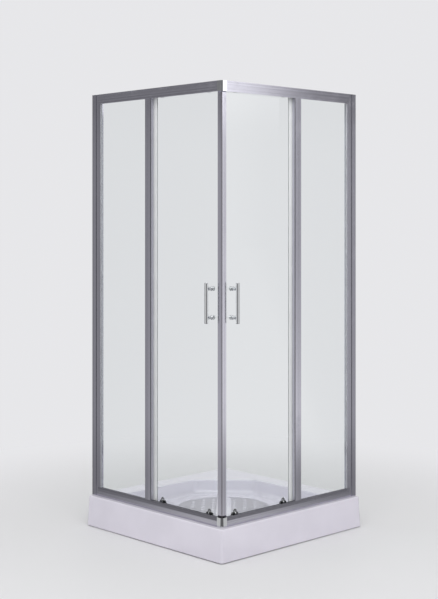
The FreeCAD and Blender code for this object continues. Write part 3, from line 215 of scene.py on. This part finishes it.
def moulded_white(looks):
    """Glossy white acrylic sheet: faint orange peel, a soft haze where water dries.

    The ground between the anti-slip studs is matt, and its colour is painted greyer than the studs that stand
    out of it: a painted shade among the studs, on the same acrylic.
    """
    finish = Finish("moulded_white")
    peel = finish.noise(scale=260.0, detail=1.0)
    wave = finish.noise(scale=7.0, detail=2.0)
    haze = finish.noise(scale=26.0, detail=4.0, roughness=0.62)
    drops = finish.noise(scale=150.0, detail=1.0)
    tone = finish.blend(wave.ramp(0.3, 0.75), looks.tray_colour, dimmed(looks.tray_colour, 0.955))
    x, y, z = finish.axes()
    aside = x + looks.field_place
    back = y - looks.field_place
    from_middle = (aside * aside + back * back).power(0.5)
    inside = 1 - from_middle.ramp(looks.field_radius - MM, looks.field_radius)
    level = (1 - z.ramp(looks.field_height, looks.field_height + MM)) * (z > looks.field_height - MM)
    ground = inside * level
    grain = finish.noise(scale=700.0, detail=2.0)
    # Painted shade: the ground between the studs is the same white acrylic, darkened here to stand for the
    # shade among the studs
    painted_shade_between_studs = dimmed(looks.tray_colour, looks.field_painted_shade)
    matt = finish.blend(grain, painted_shade_between_studs, dimmed(painted_shade_between_studs, 0.9))
    tone = finish.blend(ground, tone, matt)
    dried = haze.ramp(0.42, 0.72, first=0.10, last=0.21) + drops.ramp(0.68, 0.78, last=0.07)
    dull = dried + ground * 0.3
    normal = finish.bump(peel * 0.35 + wave + grain * ground * 0.5, distance=0.0006, strength=0.35)
    return finish.close(finish.surface({"Base Color": tone, "Roughness": dull, "Normal": normal,
                                        "Coat Weight": (1 - ground) * 0.35, "Coat Roughness": 0.05}))


# Drawing lines have this many features per metre along them and across them, broad bands this share
LENGTHWAYS = 1.2
CROSSWAYS = 900.0
BAND_SHARE = 0.16
GRAIN = {
    "X": (LENGTHWAYS, CROSSWAYS, CROSSWAYS),
    "Y": (CROSSWAYS, LENGTHWAYS, CROSSWAYS),
    "Z": (CROSSWAYS, CROSSWAYS, LENGTHWAYS),
}


def drawn_metal(looks, along):
    """Bright extruded aluminium with fine drawing lines along one axis and a few smudges."""
    finish = Finish("drawn_metal_" + along.lower())
    lines = finish.noise(scale=1.0, detail=3.0, place=finish.place(GRAIN[along]), roughness=0.6)
    broad = finish.place([scale * BAND_SHARE for scale in GRAIN[along]])
    bands = finish.noise(scale=1.0, detail=2.0, place=broad)
    smudge = finish.noise(scale=14.0, detail=3.0, roughness=0.6)
    # The metal colour's lavender cast is a painted reflection of lavender surroundings
    bright = finish.blend(lines.ramp(0.25, 0.75), dimmed(looks.metal_colour, 0.86), looks.metal_colour)
    toned = finish.blend(bands.ramp(0.35, 0.68) * 0.55, bright, dimmed(looks.metal_colour, 0.62))
    dull = lines.ramp(0.2, 0.8, first=0.09, last=0.17) + smudge.ramp(0.5, 0.8, last=0.08)
    normal = finish.bump(lines + bands * 0.5, distance=0.00006, strength=looks.brushing)
    return finish.close(finish.surface({"Base Color": toned, "Metallic": 1.0, "Roughness": dull,
                                        "Normal": normal}))


def mirror_chrome(looks, satin_posts=False):
    """Chrome plate with a trace of waviness, dried drops and finger haze.

    A handle's posts are satin: they lie between the door and the post reach.
    """
    finish = Finish("satin_chrome" if satin_posts else "mirror_chrome")
    wave = finish.noise(scale=60.0, detail=1.0)
    haze = finish.noise(scale=38.0, detail=4.0, roughness=0.65)
    drops = finish.noise(scale=420.0, detail=0.0)
    tone = finish.blend(haze.ramp(0.45, 0.8) * 0.5, looks.chrome_colour, dimmed(looks.chrome_colour, 0.88))
    dull = haze.ramp(0.4, 0.75, first=0.035, last=0.12) + drops.ramp(0.72, 0.8, last=0.08)
    if satin_posts:
        dull = dull + (finish.outwards() < looks.post_reach) * looks.post_dullness
    normal = finish.bump(wave, distance=0.0002, strength=0.15)
    return finish.close(finish.surface({"Base Color": tone, "Metallic": 1.0, "Roughness": dull,
                                        "Normal": normal}))


def zinc_plate(looks, threaded=False):
    """Zinc plated steel: cool grey with crystals, and a thread's ridges where it is a rod."""
    finish = Finish("zinc_thread" if threaded else "zinc_plate")
    crystals = finish.node("ShaderNodeTexVoronoi", {}, {"Vector": finish.place(), "Scale": 160.0})
    shade = finish.noise(scale=30.0, detail=3.0)
    tone = finish.blend(crystals.ramp(0.1, 0.7) * 0.6 + shade * 0.3, looks.zinc_colour,
                        dimmed(looks.zinc_colour, 0.66))
    dull = crystals.ramp(0.0, 0.8, first=0.30, last=0.46)
    height = crystals * 0.1
    strength = 0.3
    if threaded:
        height = (finish.axes()[2] * (TURN / looks.thread_pitch)).sine()
        strength = 1.0
    normal = finish.bump(height, distance=0.0004, strength=strength)
    return finish.close(finish.surface({"Base Color": tone, "Metallic": 1.0, "Roughness": dull,
                                        "Normal": normal}))


def moulded_plastic(name, colour, low, high, grain=0.4, gloss=0.0):
    """Injection moulded plastic: fine spark texture and slightly uneven gloss."""
    finish = Finish(name)
    spark = finish.noise(scale=1500.0, detail=1.0)
    shade = finish.noise(scale=35.0, detail=3.0)
    tone = finish.blend(shade.ramp(0.3, 0.75), colour, dimmed(colour, 0.9))
    normal = finish.bump(spark, distance=0.00008, strength=grain)
    dull = shade.ramp(0.25, 0.8, first=low, last=high)
    return finish.close(finish.surface({"Base Color": tone, "Roughness": dull, "Coat Weight": gloss,
                                        "Normal": normal}))


def soft_rubber(looks):
    """Black rubber with a dusty bloom."""
    finish = Finish("soft_rubber")
    bloom = finish.noise(scale=80.0, detail=4.0, roughness=0.6)
    grain = finish.noise(scale=900.0, detail=1.0)
    dusty = [channel + 0.035 for channel in looks.rubber_colour]
    tone = finish.blend(bloom.ramp(0.45, 0.8) * 0.5, looks.rubber_colour, dusty)
    normal = finish.bump(grain, distance=0.0001, strength=0.35)
    dull = bloom.ramp(0.3, 0.8, first=0.48, last=0.68)
    return finish.close(finish.surface({"Base Color": tone, "Roughness": dull, "Normal": normal}))


def clear_sheet(looks):
    """Tempered float glass: clear over its faces, sea green at its cut edges and drilled holes.

    A pane's two faces look along X or Y, and lie beyond the pane reach that way. What looks up or
    down, or along X or Y nearer the middle, is a cut.
    """
    finish = Finish("clear_sheet")
    haze = finish.noise(scale=3.0, detail=1.0)
    look_x, look_y, look_z = finish.split(finish.node("ShaderNodeNewGeometry").part("True Normal"))
    x, y, _ = finish.axes()
    cut_x = look_x.size() * (x.size() < looks.pane_reach)
    cut_y = look_y.size() * (y.size() < looks.pane_reach)
    cut = cut_x.largest(cut_y).largest(look_z.size()).ramp(0.3, 0.7)
    tint = finish.blend(cut, looks.glass_colour, looks.glass_edge_colour)
    dull = haze.ramp(0.4, 0.8, last=0.008)
    glass = finish.surface({"Base Color": tint, "Roughness": dull, "IOR": 1.5, "Transmission Weight": 1.0})
    clear = finish.node("ShaderNodeBsdfTransparent", {}, {"Color": rgba(looks.glass_shadow_colour)})
    lamps = finish.node("ShaderNodeLightPath").part("Is Shadow Ray")
    return finish.close(finish.node("ShaderNodeMixShader", {}, {0: lamps, 1: glass, 2: clear}))


def milky_seal(looks):
    """Milky plastic that almost takes the tone of the pane, with long drawing lines and a bloom."""
    finish = Finish("milky_seal")
    lines = finish.noise(scale=1.0, detail=2.0, place=finish.place(GRAIN["Z"]))
    shade = finish.noise(scale=22.0, detail=3.0)
    tone = finish.blend(shade.ramp(0.3, 0.8), looks.seal_colour, dimmed(looks.seal_colour, 0.95))
    normal = finish.bump(lines, distance=0.00008, strength=0.5)
    dull = lines.ramp(0.2, 0.8, first=0.18, last=0.32)
    return finish.close(finish.surface({"Base Color": tone, "Roughness": dull, "Normal": normal}))


def roller_finish(looks):
    """Dark moulded housing inside the pane, with the chromed cap of its bolt outside it."""
    finish = Finish("roller_plastic")
    cap = finish.outwards() > looks.pane_face
    spark = finish.noise(scale=1500.0, detail=1.0)
    shade = finish.noise(scale=35.0, detail=3.0)
    dark = finish.blend(shade.ramp(0.3, 0.75), looks.roller_colour, dimmed(looks.roller_colour, 0.7))
    tone = finish.blend(cap, dark, looks.chrome_colour)
    dull = shade.ramp(0.25, 0.8, first=0.24, last=0.38) * (1 - cap) + cap * 0.08
    normal = finish.bump(spark * (1 - cap), distance=0.00008, strength=0.3)
    return finish.close(finish.surface({"Base Color": tone, "Metallic": cap, "Roughness": dull,
                                        "Normal": normal}))


# Pieces by name


def dress(material, *names):
    """Give CAD nodes a finish."""
    for name in names:
        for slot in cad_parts[name].material_slots:
            slot.material = material


def on_both_sides(*names):
    """Names of the same pieces on the left and on the right."""
    return ["%s_%s" % (side, name) for side in SIDES for name in names]


# What a user would change


class ShowerLooks(bpy.types.PropertyGroup):
    """Sizes and colours of the dressed shower."""

    tray_colour: bpy.props.FloatVectorProperty(
        name="Tray", description="Acrylic of the tray", subtype="COLOR", default=(0.83, 0.80, 0.89))
    # Painted shade: how much the ground between the studs is darkened, though it is the tray's own acrylic
    field_painted_shade: bpy.props.FloatProperty(
        name="Stud field", description="How bright the matt ground between the studs is", default=0.63,
        min=0.0, max=1.0)
    field_place: bpy.props.FloatProperty(
        name="Field place", description="Middle of the stud field, back from the tray's along both walls",
        default=0.0389, unit="LENGTH")
    field_radius: bpy.props.FloatProperty(
        name="Field radius", description="Radius of the round stud field", default=0.215, unit="LENGTH")
    field_height: bpy.props.FloatProperty(
        name="Field height", description="Just above the ground between the studs", default=0.0735,
        unit="LENGTH")
    # The lavender cast in this colour is a painted reflection of lavender surroundings; bare aluminium is
    # neutral grey
    metal_colour: bpy.props.FloatVectorProperty(
        name="Aluminium", description="Extruded profiles", subtype="COLOR", default=(0.64, 0.63, 0.71))
    chrome_colour: bpy.props.FloatVectorProperty(
        name="Chrome", description="Handles, corners and caps", subtype="COLOR", default=(0.74, 0.75, 0.77))
    zinc_colour: bpy.props.FloatVectorProperty(
        name="Zinc", description="Brackets, tubes and fasteners", subtype="COLOR", default=(0.45, 0.46, 0.48))
    glass_colour: bpy.props.FloatVectorProperty(
        name="Glass", description="Glass seen through its faces", subtype="COLOR",
        default=(0.915, 0.935, 0.935))
    glass_edge_colour: bpy.props.FloatVectorProperty(
        name="Glass edge", description="Glass seen through its cut edges", subtype="COLOR",
        default=(0.42, 0.68, 0.60))
    glass_shadow_colour: bpy.props.FloatVectorProperty(
        name="Glass shadow", description="What lamps shine through a pane", subtype="COLOR",
        default=(0.90, 0.93, 0.92))
    rubber_colour: bpy.props.FloatVectorProperty(
        name="Rubber", description="Stops and the trap's gasket", subtype="COLOR",
        default=(0.030, 0.030, 0.033))
    gasket_colour: bpy.props.FloatVectorProperty(
        name="Gasket", description="Grey vinyl round the fixed panes", subtype="COLOR",
        default=(0.68, 0.69, 0.72))
    seal_colour: bpy.props.FloatVectorProperty(
        name="Seal", description="Milky seals and washers", subtype="COLOR", default=(0.90, 0.915, 0.92))
    roller_colour: bpy.props.FloatVectorProperty(
        name="Roller housing", description="Housings and release yokes", subtype="COLOR",
        default=(0.060, 0.060, 0.066))
    wheel_colour: bpy.props.FloatVectorProperty(
        name="Wheel", description="Grooved wheels", subtype="COLOR", default=(0.72, 0.72, 0.70))
    waste_colour: bpy.props.FloatVectorProperty(
        name="Waste", description="Trap and dip tube", subtype="COLOR", default=(0.76, 0.76, 0.74))
    magnet_colour: bpy.props.FloatVectorProperty(
        name="Magnet strip", description="Strip over the doors' magnets", subtype="COLOR",
        default=(0.075, 0.055, 0.070))
    foot_colour: bpy.props.FloatVectorProperty(
        name="Foot", description="Levelling feet", subtype="COLOR", default=(0.035, 0.035, 0.035))
    brushing: bpy.props.FloatProperty(
        name="Brushing", description="How much the drawing lines stand out", default=0.5, min=0.0, max=1.0)
    thread_pitch: bpy.props.FloatProperty(
        name="Thread pitch", description="Pitch of the feet's threaded rods", default=0.0015, unit="LENGTH")
    pane_reach: bpy.props.FloatProperty(
        name="Pane reach", description="Distance from the middle to just inside the panes", unit="LENGTH",
        default=DOOR_PANE[0] - MM)
    post_reach: bpy.props.FloatProperty(
        name="Post reach", description="Distance from the middle to where a handle's posts meet its bar",
        unit="LENGTH", default=HANDLE_REACH - HANDLE_BAR)
    post_dullness: bpy.props.FloatProperty(
        name="Post dullness", description="How much rougher a handle's posts are than its bar", default=0.32,
        min=0.0, max=0.8)
    pane_face: bpy.props.FloatProperty(
        name="Pane face", description="Distance from the middle to just inside the doors' outer faces",
        unit="LENGTH", default=DOOR_PANE[1] - MM / 2)


class ShowerStudio(bpy.types.PropertyGroup):
    """Camera, lamps and floor."""

    camera_place: bpy.props.FloatVectorProperty(
        name="Camera", description="Where the camera stands", subtype="TRANSLATION", unit="LENGTH",
        default=(4.0232, -3.9218, 1.4206))
    camera_yaw: bpy.props.FloatProperty(
        name="Yaw", description="Turn of the camera to the left of +Y", subtype="ANGLE", default=0.8063)
    camera_lens: bpy.props.FloatProperty(
        name="Lens", description="Focal length on a 36 mm high picture", default=72.833, unit="CAMERA")
    camera_shift: bpy.props.FloatVectorProperty(
        name="Shift", description="Shift of the level camera's picture, in picture heights", size=2,
        default=(0.00868, -0.13354))
    lamp_target: bpy.props.FloatVectorProperty(
        name="Lamp target", description="Point in the shower that both lamps look at",
        subtype="TRANSLATION", unit="LENGTH", default=(0.0, 0.0, 0.95))
    overhead_place: bpy.props.FloatVectorProperty(
        name="Overhead place", description="Where the large lamp hangs", subtype="TRANSLATION",
        unit="LENGTH", default=(2.2, -1.4, 4.6))
    overhead_size: bpy.props.FloatVectorProperty(
        name="Overhead size", description="Width and depth of the large lamp", size=2, unit="LENGTH",
        default=(3.4, 3.4))
    overhead_strength: bpy.props.FloatProperty(
        name="Overhead lamp", description="Power of the large lamp above the camera's side", default=96.0,
        unit="POWER")
    left_place: bpy.props.FloatVectorProperty(
        name="Left place", description="Where the soft box on the left stands", subtype="TRANSLATION",
        unit="LENGTH", default=(-3.7, -3.9, 3.8))
    left_size: bpy.props.FloatVectorProperty(
        name="Left size", description="Width and height of the soft box on the left", size=2,
        unit="LENGTH", default=(2.6, 1.8))
    left_strength: bpy.props.FloatProperty(
        name="Left lamp", description="Power of the soft box on the left", default=26.0, unit="POWER")
    room_light: bpy.props.FloatProperty(
        name="Room light", description="Strength of the light from all round", default=0.64)
    flank_shade: bpy.props.FloatProperty(
        name="Flank shade", description="How bright the room is next to the mirrored walls",
        default=0.68, min=0.0, max=1.0)
    room_shade: bpy.props.FloatProperty(
        name="Room shade", description="How bright the mirrored room is, against the backdrop",
        default=0.27, min=0.0, max=1.0)
    gap_shade: bpy.props.FloatProperty(
        name="Gap shade", description="How bright the gap round the camera is, against the backdrop",
        default=0.10, min=0.0, max=1.0)
    floor_dimming: bpy.props.FloatProperty(
        name="Floor dimming", description="How much of the dim room metal mirrors in the floor close by",
        default=0.5, min=0.0, max=1.0)
    box_strength: bpy.props.FloatProperty(
        name="Soft box", description="How much brighter the box high on the right is than its wall",
        default=0.9, min=0.0)
    floor_reach: bpy.props.FloatProperty(
        name="Floor reach", description="Distance from the middle to the floor's edges", unit="LENGTH",
        default=40.0)
    floor_colour: bpy.props.FloatVectorProperty(
        name="Floor", description="Pale studio floor", subtype="COLOR", default=(0.80, 0.80, 0.81))
    backdrop_colour: bpy.props.FloatVectorProperty(
        name="Backdrop", description="Pale wall seen behind the shower", subtype="COLOR",
        default=(0.80, 0.80, 0.82))


# Operators


class DressTray(bpy.types.Operator):
    """Give the tray its glossy acrylic"""

    bl_idname = "shower.tray"
    bl_label = "Tray"

    def execute(self, context):
        dress(moulded_white(context.scene.shower_looks), "shower_tray")
        return {"FINISHED"}


class DressSupport(bpy.types.Operator):
    """Finish the tubes and the levelling feet under the tray"""

    bl_idname = "shower.support"
    bl_label = "Tubes and feet"

    def execute(self, context):
        looks = context.scene.shower_looks
        dress(zinc_plate(looks), "tray_long_tubes", "tray_cross_tubes", "foot_nuts")
        dress(zinc_plate(looks, threaded=True), "foot_rods")
        foot = moulded_plastic("foot_plastic", looks.foot_colour, low=0.45, high=0.6, grain=0.8)
        dress(foot, "foot_pads")
        return {"FINISHED"}


class DressWaste(bpy.types.Operator):
    """Finish the waste in and under the tray"""

    bl_idname = "shower.waste"
    bl_label = "Waste"

    def execute(self, context):
        looks = context.scene.shower_looks
        dress(mirror_chrome(looks), "waste_flange", "waste_cover")
        plastic = moulded_plastic("waste_plastic", looks.waste_colour, low=0.35, high=0.5)
        dress(plastic, "waste_trap", "waste_dip_tube")
        dress(soft_rubber(looks), "trap_gasket")
        return {"FINISHED"}


class DressFrame(bpy.types.Operator):
    """Give every profile drawing lines along its own length and chrome to the corners"""

    bl_idname = "shower.frame"
    bl_label = "Frame"

    def execute(self, context):
        looks = context.scene.shower_looks
        upright = drawn_metal(looks, "Z")
        dress(upright, *on_both_sides("wall_channel", "side_upright", "meeting_profile", "door_stile"))
        dress(drawn_metal(looks, "X"), "left_top_rail", "left_bottom_rail")
        dress(drawn_metal(looks, "Y"), "right_top_rail", "right_bottom_rail")
        dress(mirror_chrome(looks), "top_corner_connector", "bottom_corner_connector")
        return {"FINISHED"}


class DressPanes(bpy.types.Operator):
    """Glaze the fixed panes and the doors"""

    bl_idname = "shower.panes"
    bl_label = "Panes"

    def execute(self, context):
        dress(clear_sheet(context.scene.shower_looks), *on_both_sides("fixed_glass", "door_glass"))
        return {"FINISHED"}


class DressSeals(bpy.types.Operator):
    """Finish gaskets, stops, seals and magnetic strips"""

    bl_idname = "shower.seals"
    bl_label = "Seals"

    def execute(self, context):
        looks = context.scene.shower_looks
        gasket = moulded_plastic("gasket_vinyl", looks.gasket_colour, low=0.42, high=0.5, grain=0.5)
        dress(gasket, *on_both_sides("glazing_gasket"))
        dress(soft_rubber(looks), *on_both_sides("door_stops"))
        dress(milky_seal(looks), *on_both_sides("door_edge_seal", "handle_washers"))
        strip = moulded_plastic("magnet_plastic", looks.magnet_colour, low=0.4, high=0.55)
        dress(strip, *on_both_sides("door_magnet"))
        return {"FINISHED"}


class DressHandles(bpy.types.Operator):
    """Chrome the handles and their inside caps"""

    bl_idname = "shower.handles"
    bl_label = "Handles"

    def execute(self, context):
        looks = context.scene.shower_looks
        dress(mirror_chrome(looks, satin_posts=True), *on_both_sides("handle"))
        dress(mirror_chrome(looks), *on_both_sides("handle_caps"))
        return {"FINISHED"}


class DressRunningGear(bpy.types.Operator):
    """Finish the brackets, wheels, roller housings and release yokes"""

    bl_idname = "shower.running_gear"
    bl_label = "Running gear"

    def execute(self, context):
        looks = context.scene.shower_looks
        dress(zinc_plate(looks), "upright_screws", *on_both_sides("top_brackets"))
        dress(roller_finish(looks), *on_both_sides("roller_housings"))
        dark = moulded_plastic("yoke_plastic", looks.roller_colour, low=0.22, high=0.36, grain=0.3, gloss=0.2)
        dress(dark, *on_both_sides("release_yoke_front", "release_yoke_rear"))
        pale = moulded_plastic("wheel_plastic", looks.wheel_colour, low=0.3, high=0.45)
        dress(pale, *on_both_sides("top_wheel_front", "top_wheel_rear", "bottom_wheel_front",
                                   "bottom_wheel_rear"))
        return {"FINISHED"}


# Studio


# What metal mirrors changes at these angles from the camera's own direction, in degrees. The bright
# walls end at four: where the left one begins to fade and where it has faded, then the right one's.
WALL_ENDS = (64, 88, 89.2, 90.2)
WALL_ENDS_CLOSE_BY = (58, 82, 58, 82)
GAP_EDGE = 29
GAP_WALL = 38
ROOM_START = 103
ROOM_END = 138
BACKDROP_START = 152
BEHIND = 180
# The lit floor fades into the backdrop between these distances from the middle
FLOOR_FADE = (0.7, 2.3)
# What metal mirrors in the floor turns from dimmed walls to full ones between these distances
MIRRORED_FADE = (1.3, 4.0)
# All values from here to BOX_TOP are on directions of length 1. Between these heights the mirrored
# walls turn into the dim room above them, where a direction goes more than this towards the camera.
WALL_TOP = (0.05, 0.11)
ROOM_AHEAD = -0.5
# The soft box lies past these two, to the camera's right and towards it, and between these heights
BOX_ASIDE = 0.7
BOX_AHEAD = -0.012
BOX_FOOT = (0.055, 0.10)
BOX_TOP = (0.13, 0.19)
# Height of the camera's picture in millimetres, and how far the camera sees in metres
PICTURE_HEIGHT = 36.0
VIEW_END = 200.0


def stage_light(name, place, target, size, power):
    """A large soft lamp that looks at a point."""
    lamp = bpy.data.lights.new(name, "AREA")
    lamp.shape = "RECTANGLE"
    lamp.size, lamp.size_y = size
    lamp.energy = power
    item = bpy.data.objects.new(name, lamp)
    item.location = place
    item.rotation_euler = (Vector(target) - Vector(place)).to_track_quat("-Z", "Y").to_euler()
    bpy.context.scene.collection.objects.link(item)


def from_camera(x, y, studio):
    """How far a direction goes towards the camera, and how far to the camera's right."""
    ahead = x * math.sin(studio.camera_yaw) - y * math.cos(studio.camera_yaw)
    aside = x * math.cos(studio.camera_yaw) + y * math.sin(studio.camera_yaw)
    return ahead, aside


def mirrored_walls(finish, x, y, studio, ends):
    """What metal mirrors in the direction of x and y: bright walls either side of the camera, a dark
    gap in which it stands, a dim room past the walls and the backdrop behind the shower.

    ends are the four angles at which the bright walls end.
    """
    ahead, aside = from_camera(x, y, studio)
    turn = aside.step("ARCTAN2", ahead)
    bright = (1.0, 1.0, 1.0)
    far = studio.backdrop_colour
    flank = dimmed(studio.backdrop_colour, studio.flank_shade)
    room = dimmed(studio.backdrop_colour, studio.room_shade)
    gap = dimmed(studio.backdrop_colour, studio.gap_shade)
    left_end, left_dark, right_end, right_dark = ends
    stops = [(-BEHIND, far), (-BACKDROP_START, far), (-ROOM_END, room), (-ROOM_START, room),
             (-left_dark, flank), (-left_end, bright), (-GAP_WALL, bright), (-GAP_EDGE, gap),
             (GAP_EDGE, gap), (GAP_WALL, bright), (right_end, bright), (right_dark, flank),
             (ROOM_START, room), (ROOM_END, room), (BACKDROP_START, far), (BEHIND, far)]
    places = [(angle / 360 + 0.5, colour) for angle, colour in stops]
    return finish.node("ShaderNodeValToRGB", {"stops": places}, {"Fac": turn / TURN + 0.5})


def studio_floor(studio):
    """Pale floor that keeps shadows near the shower and fades into the backdrop far out."""
    finish = Finish("studio_floor")
    x, y, _ = finish.axes()
    distance = (x * x + y * y).power(0.5)
    grain = finish.noise(scale=2.5, detail=2.0)
    tone = finish.blend(grain, studio.floor_colour, dimmed(studio.floor_colour, 0.985))
    path = finish.node("ShaderNodeLightPath")
    mirrored = path.part("Is Glossy Ray") * (1 - path.part("Is Transmission Ray"))
    near = finish.blend(studio.floor_dimming, mirrored_walls(finish, x, y, studio, WALL_ENDS_CLOSE_BY),
                        dimmed(studio.floor_colour, studio.room_shade))
    walls = finish.blend(distance.ramp(*MIRRORED_FADE), near,
                         mirrored_walls(finish, x, y, studio, WALL_ENDS))
    lit = finish.surface({"Base Color": tone, "Roughness": 0.55})
    seen = finish.node("ShaderNodeEmission", {}, {
        "Color": finish.blend(mirrored, studio.backdrop_colour, walls), "Strength": 1.0})
    return finish.close(finish.node("ShaderNodeMixShader", {}, {
        0: distance.ramp(*FLOOR_FADE).largest(mirrored), 1: lit, 2: seen}))


def studio_world(studio):
    """Even light on every surface, the pale backdrop for the eye and through glass.

    Metal mirrors the walls of the studio, and a soft box high on the right.
    """
    world = bpy.data.worlds.new("studio_world")
    world.use_nodes = True
    world.node_tree.nodes.clear()
    finish = Finish.over(world)
    path = finish.node("ShaderNodeLightPath")
    seen = path.part("Is Camera Ray").largest(path.part("Is Transmission Ray"))
    x, y, height = finish.split(finish.node("ShaderNodeTexCoord").part("Generated"))
    walls = mirrored_walls(finish, x, y, studio, WALL_ENDS)
    dim = dimmed(studio.backdrop_colour, studio.room_shade)
    ahead, aside = from_camera(x, y, studio)
    box = (aside > BOX_ASIDE) * (ahead > BOX_AHEAD) * height.ramp(*BOX_FOOT) * (1 - height.ramp(*BOX_TOP))
    kept = (ahead < ROOM_AHEAD).largest(box)
    mirrored = finish.blend(height.ramp(*WALL_TOP) * (1 - kept), walls, dim)
    even = finish.node("ShaderNodeBackground", {}, {"Color": rgba((1, 1, 1)), "Strength": studio.room_light})
    shown = finish.node("ShaderNodeBackground", {}, {
        "Color": finish.blend(seen, mirrored, studio.backdrop_colour),
        "Strength": 1 + box * (1 - seen) * studio.box_strength})
    share = seen.largest(path.part("Is Glossy Ray"))
    mix = finish.node("ShaderNodeMixShader", {}, {0: share, 1: even, 2: shown})
    finish.node("ShaderNodeOutputWorld", {}, {"Surface": mix})
    return world


class SetStage(bpy.types.Operator):
    """Lay the floor, hang the lamps and stand the camera"""

    bl_idname = "shower.stage"
    bl_label = "Stage"

    def execute(self, context):
        scene = context.scene
        studio = scene.shower_studio
        reach = studio.floor_reach
        corners = [(-reach, -reach, 0), (reach, -reach, 0), (reach, reach, 0), (-reach, reach, 0)]
        mesh = bpy.data.meshes.new("studio_floor")
        mesh.from_pydata(corners, [], [(0, 1, 2, 3)])
        floor = bpy.data.objects.new("studio_floor", mesh)
        mesh.materials.append(studio_floor(studio))
        scene.collection.objects.link(floor)
        stage_light("overhead_lamp", studio.overhead_place, studio.lamp_target, studio.overhead_size,
                    studio.overhead_strength)
        stage_light("left_lamp", studio.left_place, studio.lamp_target, studio.left_size,
                    studio.left_strength)
        scene.world = studio_world(studio)
        lens = bpy.data.cameras.new("camera")
        lens.sensor_fit = "VERTICAL"
        lens.sensor_height = PICTURE_HEIGHT
        lens.lens = studio.camera_lens
        lens.clip_end = VIEW_END
        camera = bpy.data.objects.new("camera", lens)
        camera.location = studio.camera_place
        camera.rotation_euler = Euler((math.pi / 2, 0.0, studio.camera_yaw))
        lens.shift_x, lens.shift_y = studio.camera_shift
        scene.collection.objects.link(camera)
        scene.camera = camera
        scene.view_settings.view_transform = "Standard"
        return {"FINISHED"}


OPERATORS = (DressTray, DressSupport, DressWaste, DressFrame, DressPanes, DressSeals, DressHandles,
             DressRunningGear, SetStage)


class ShowerPanel(bpy.types.Panel):
    """Lists the steps and the values that they use"""

    bl_idname = "VIEW3D_PT_shower"
    bl_label = "Corner shower"
    bl_space_type = "VIEW_3D"
    bl_region_type = "UI"
    bl_category = "Shower"

    def draw(self, context):
        layout = self.layout
        for operator in OPERATORS:
            layout.operator(operator.bl_idname)
        for group in (context.scene.shower_looks, context.scene.shower_studio):
            for name in group.__annotations__:
                layout.prop(group, name)


CLASSES = (ShowerLooks, ShowerStudio, ShowerPanel) + OPERATORS


def register():
    for item in CLASSES:
        bpy.utils.register_class(item)
    bpy.types.Scene.shower_looks = bpy.props.PointerProperty(type=ShowerLooks)
    bpy.types.Scene.shower_studio = bpy.props.PointerProperty(type=ShowerStudio)


def unregister():
    del bpy.types.Scene.shower_looks
    del bpy.types.Scene.shower_studio
    for item in reversed(CLASSES):
        bpy.utils.unregister_class(item)


def main():
    register()
    for operator in OPERATORS:
        group, name = operator.bl_idname.split(".")
        getattr(getattr(bpy.ops, group), name)()


if __name__ == "__main__":
    main()
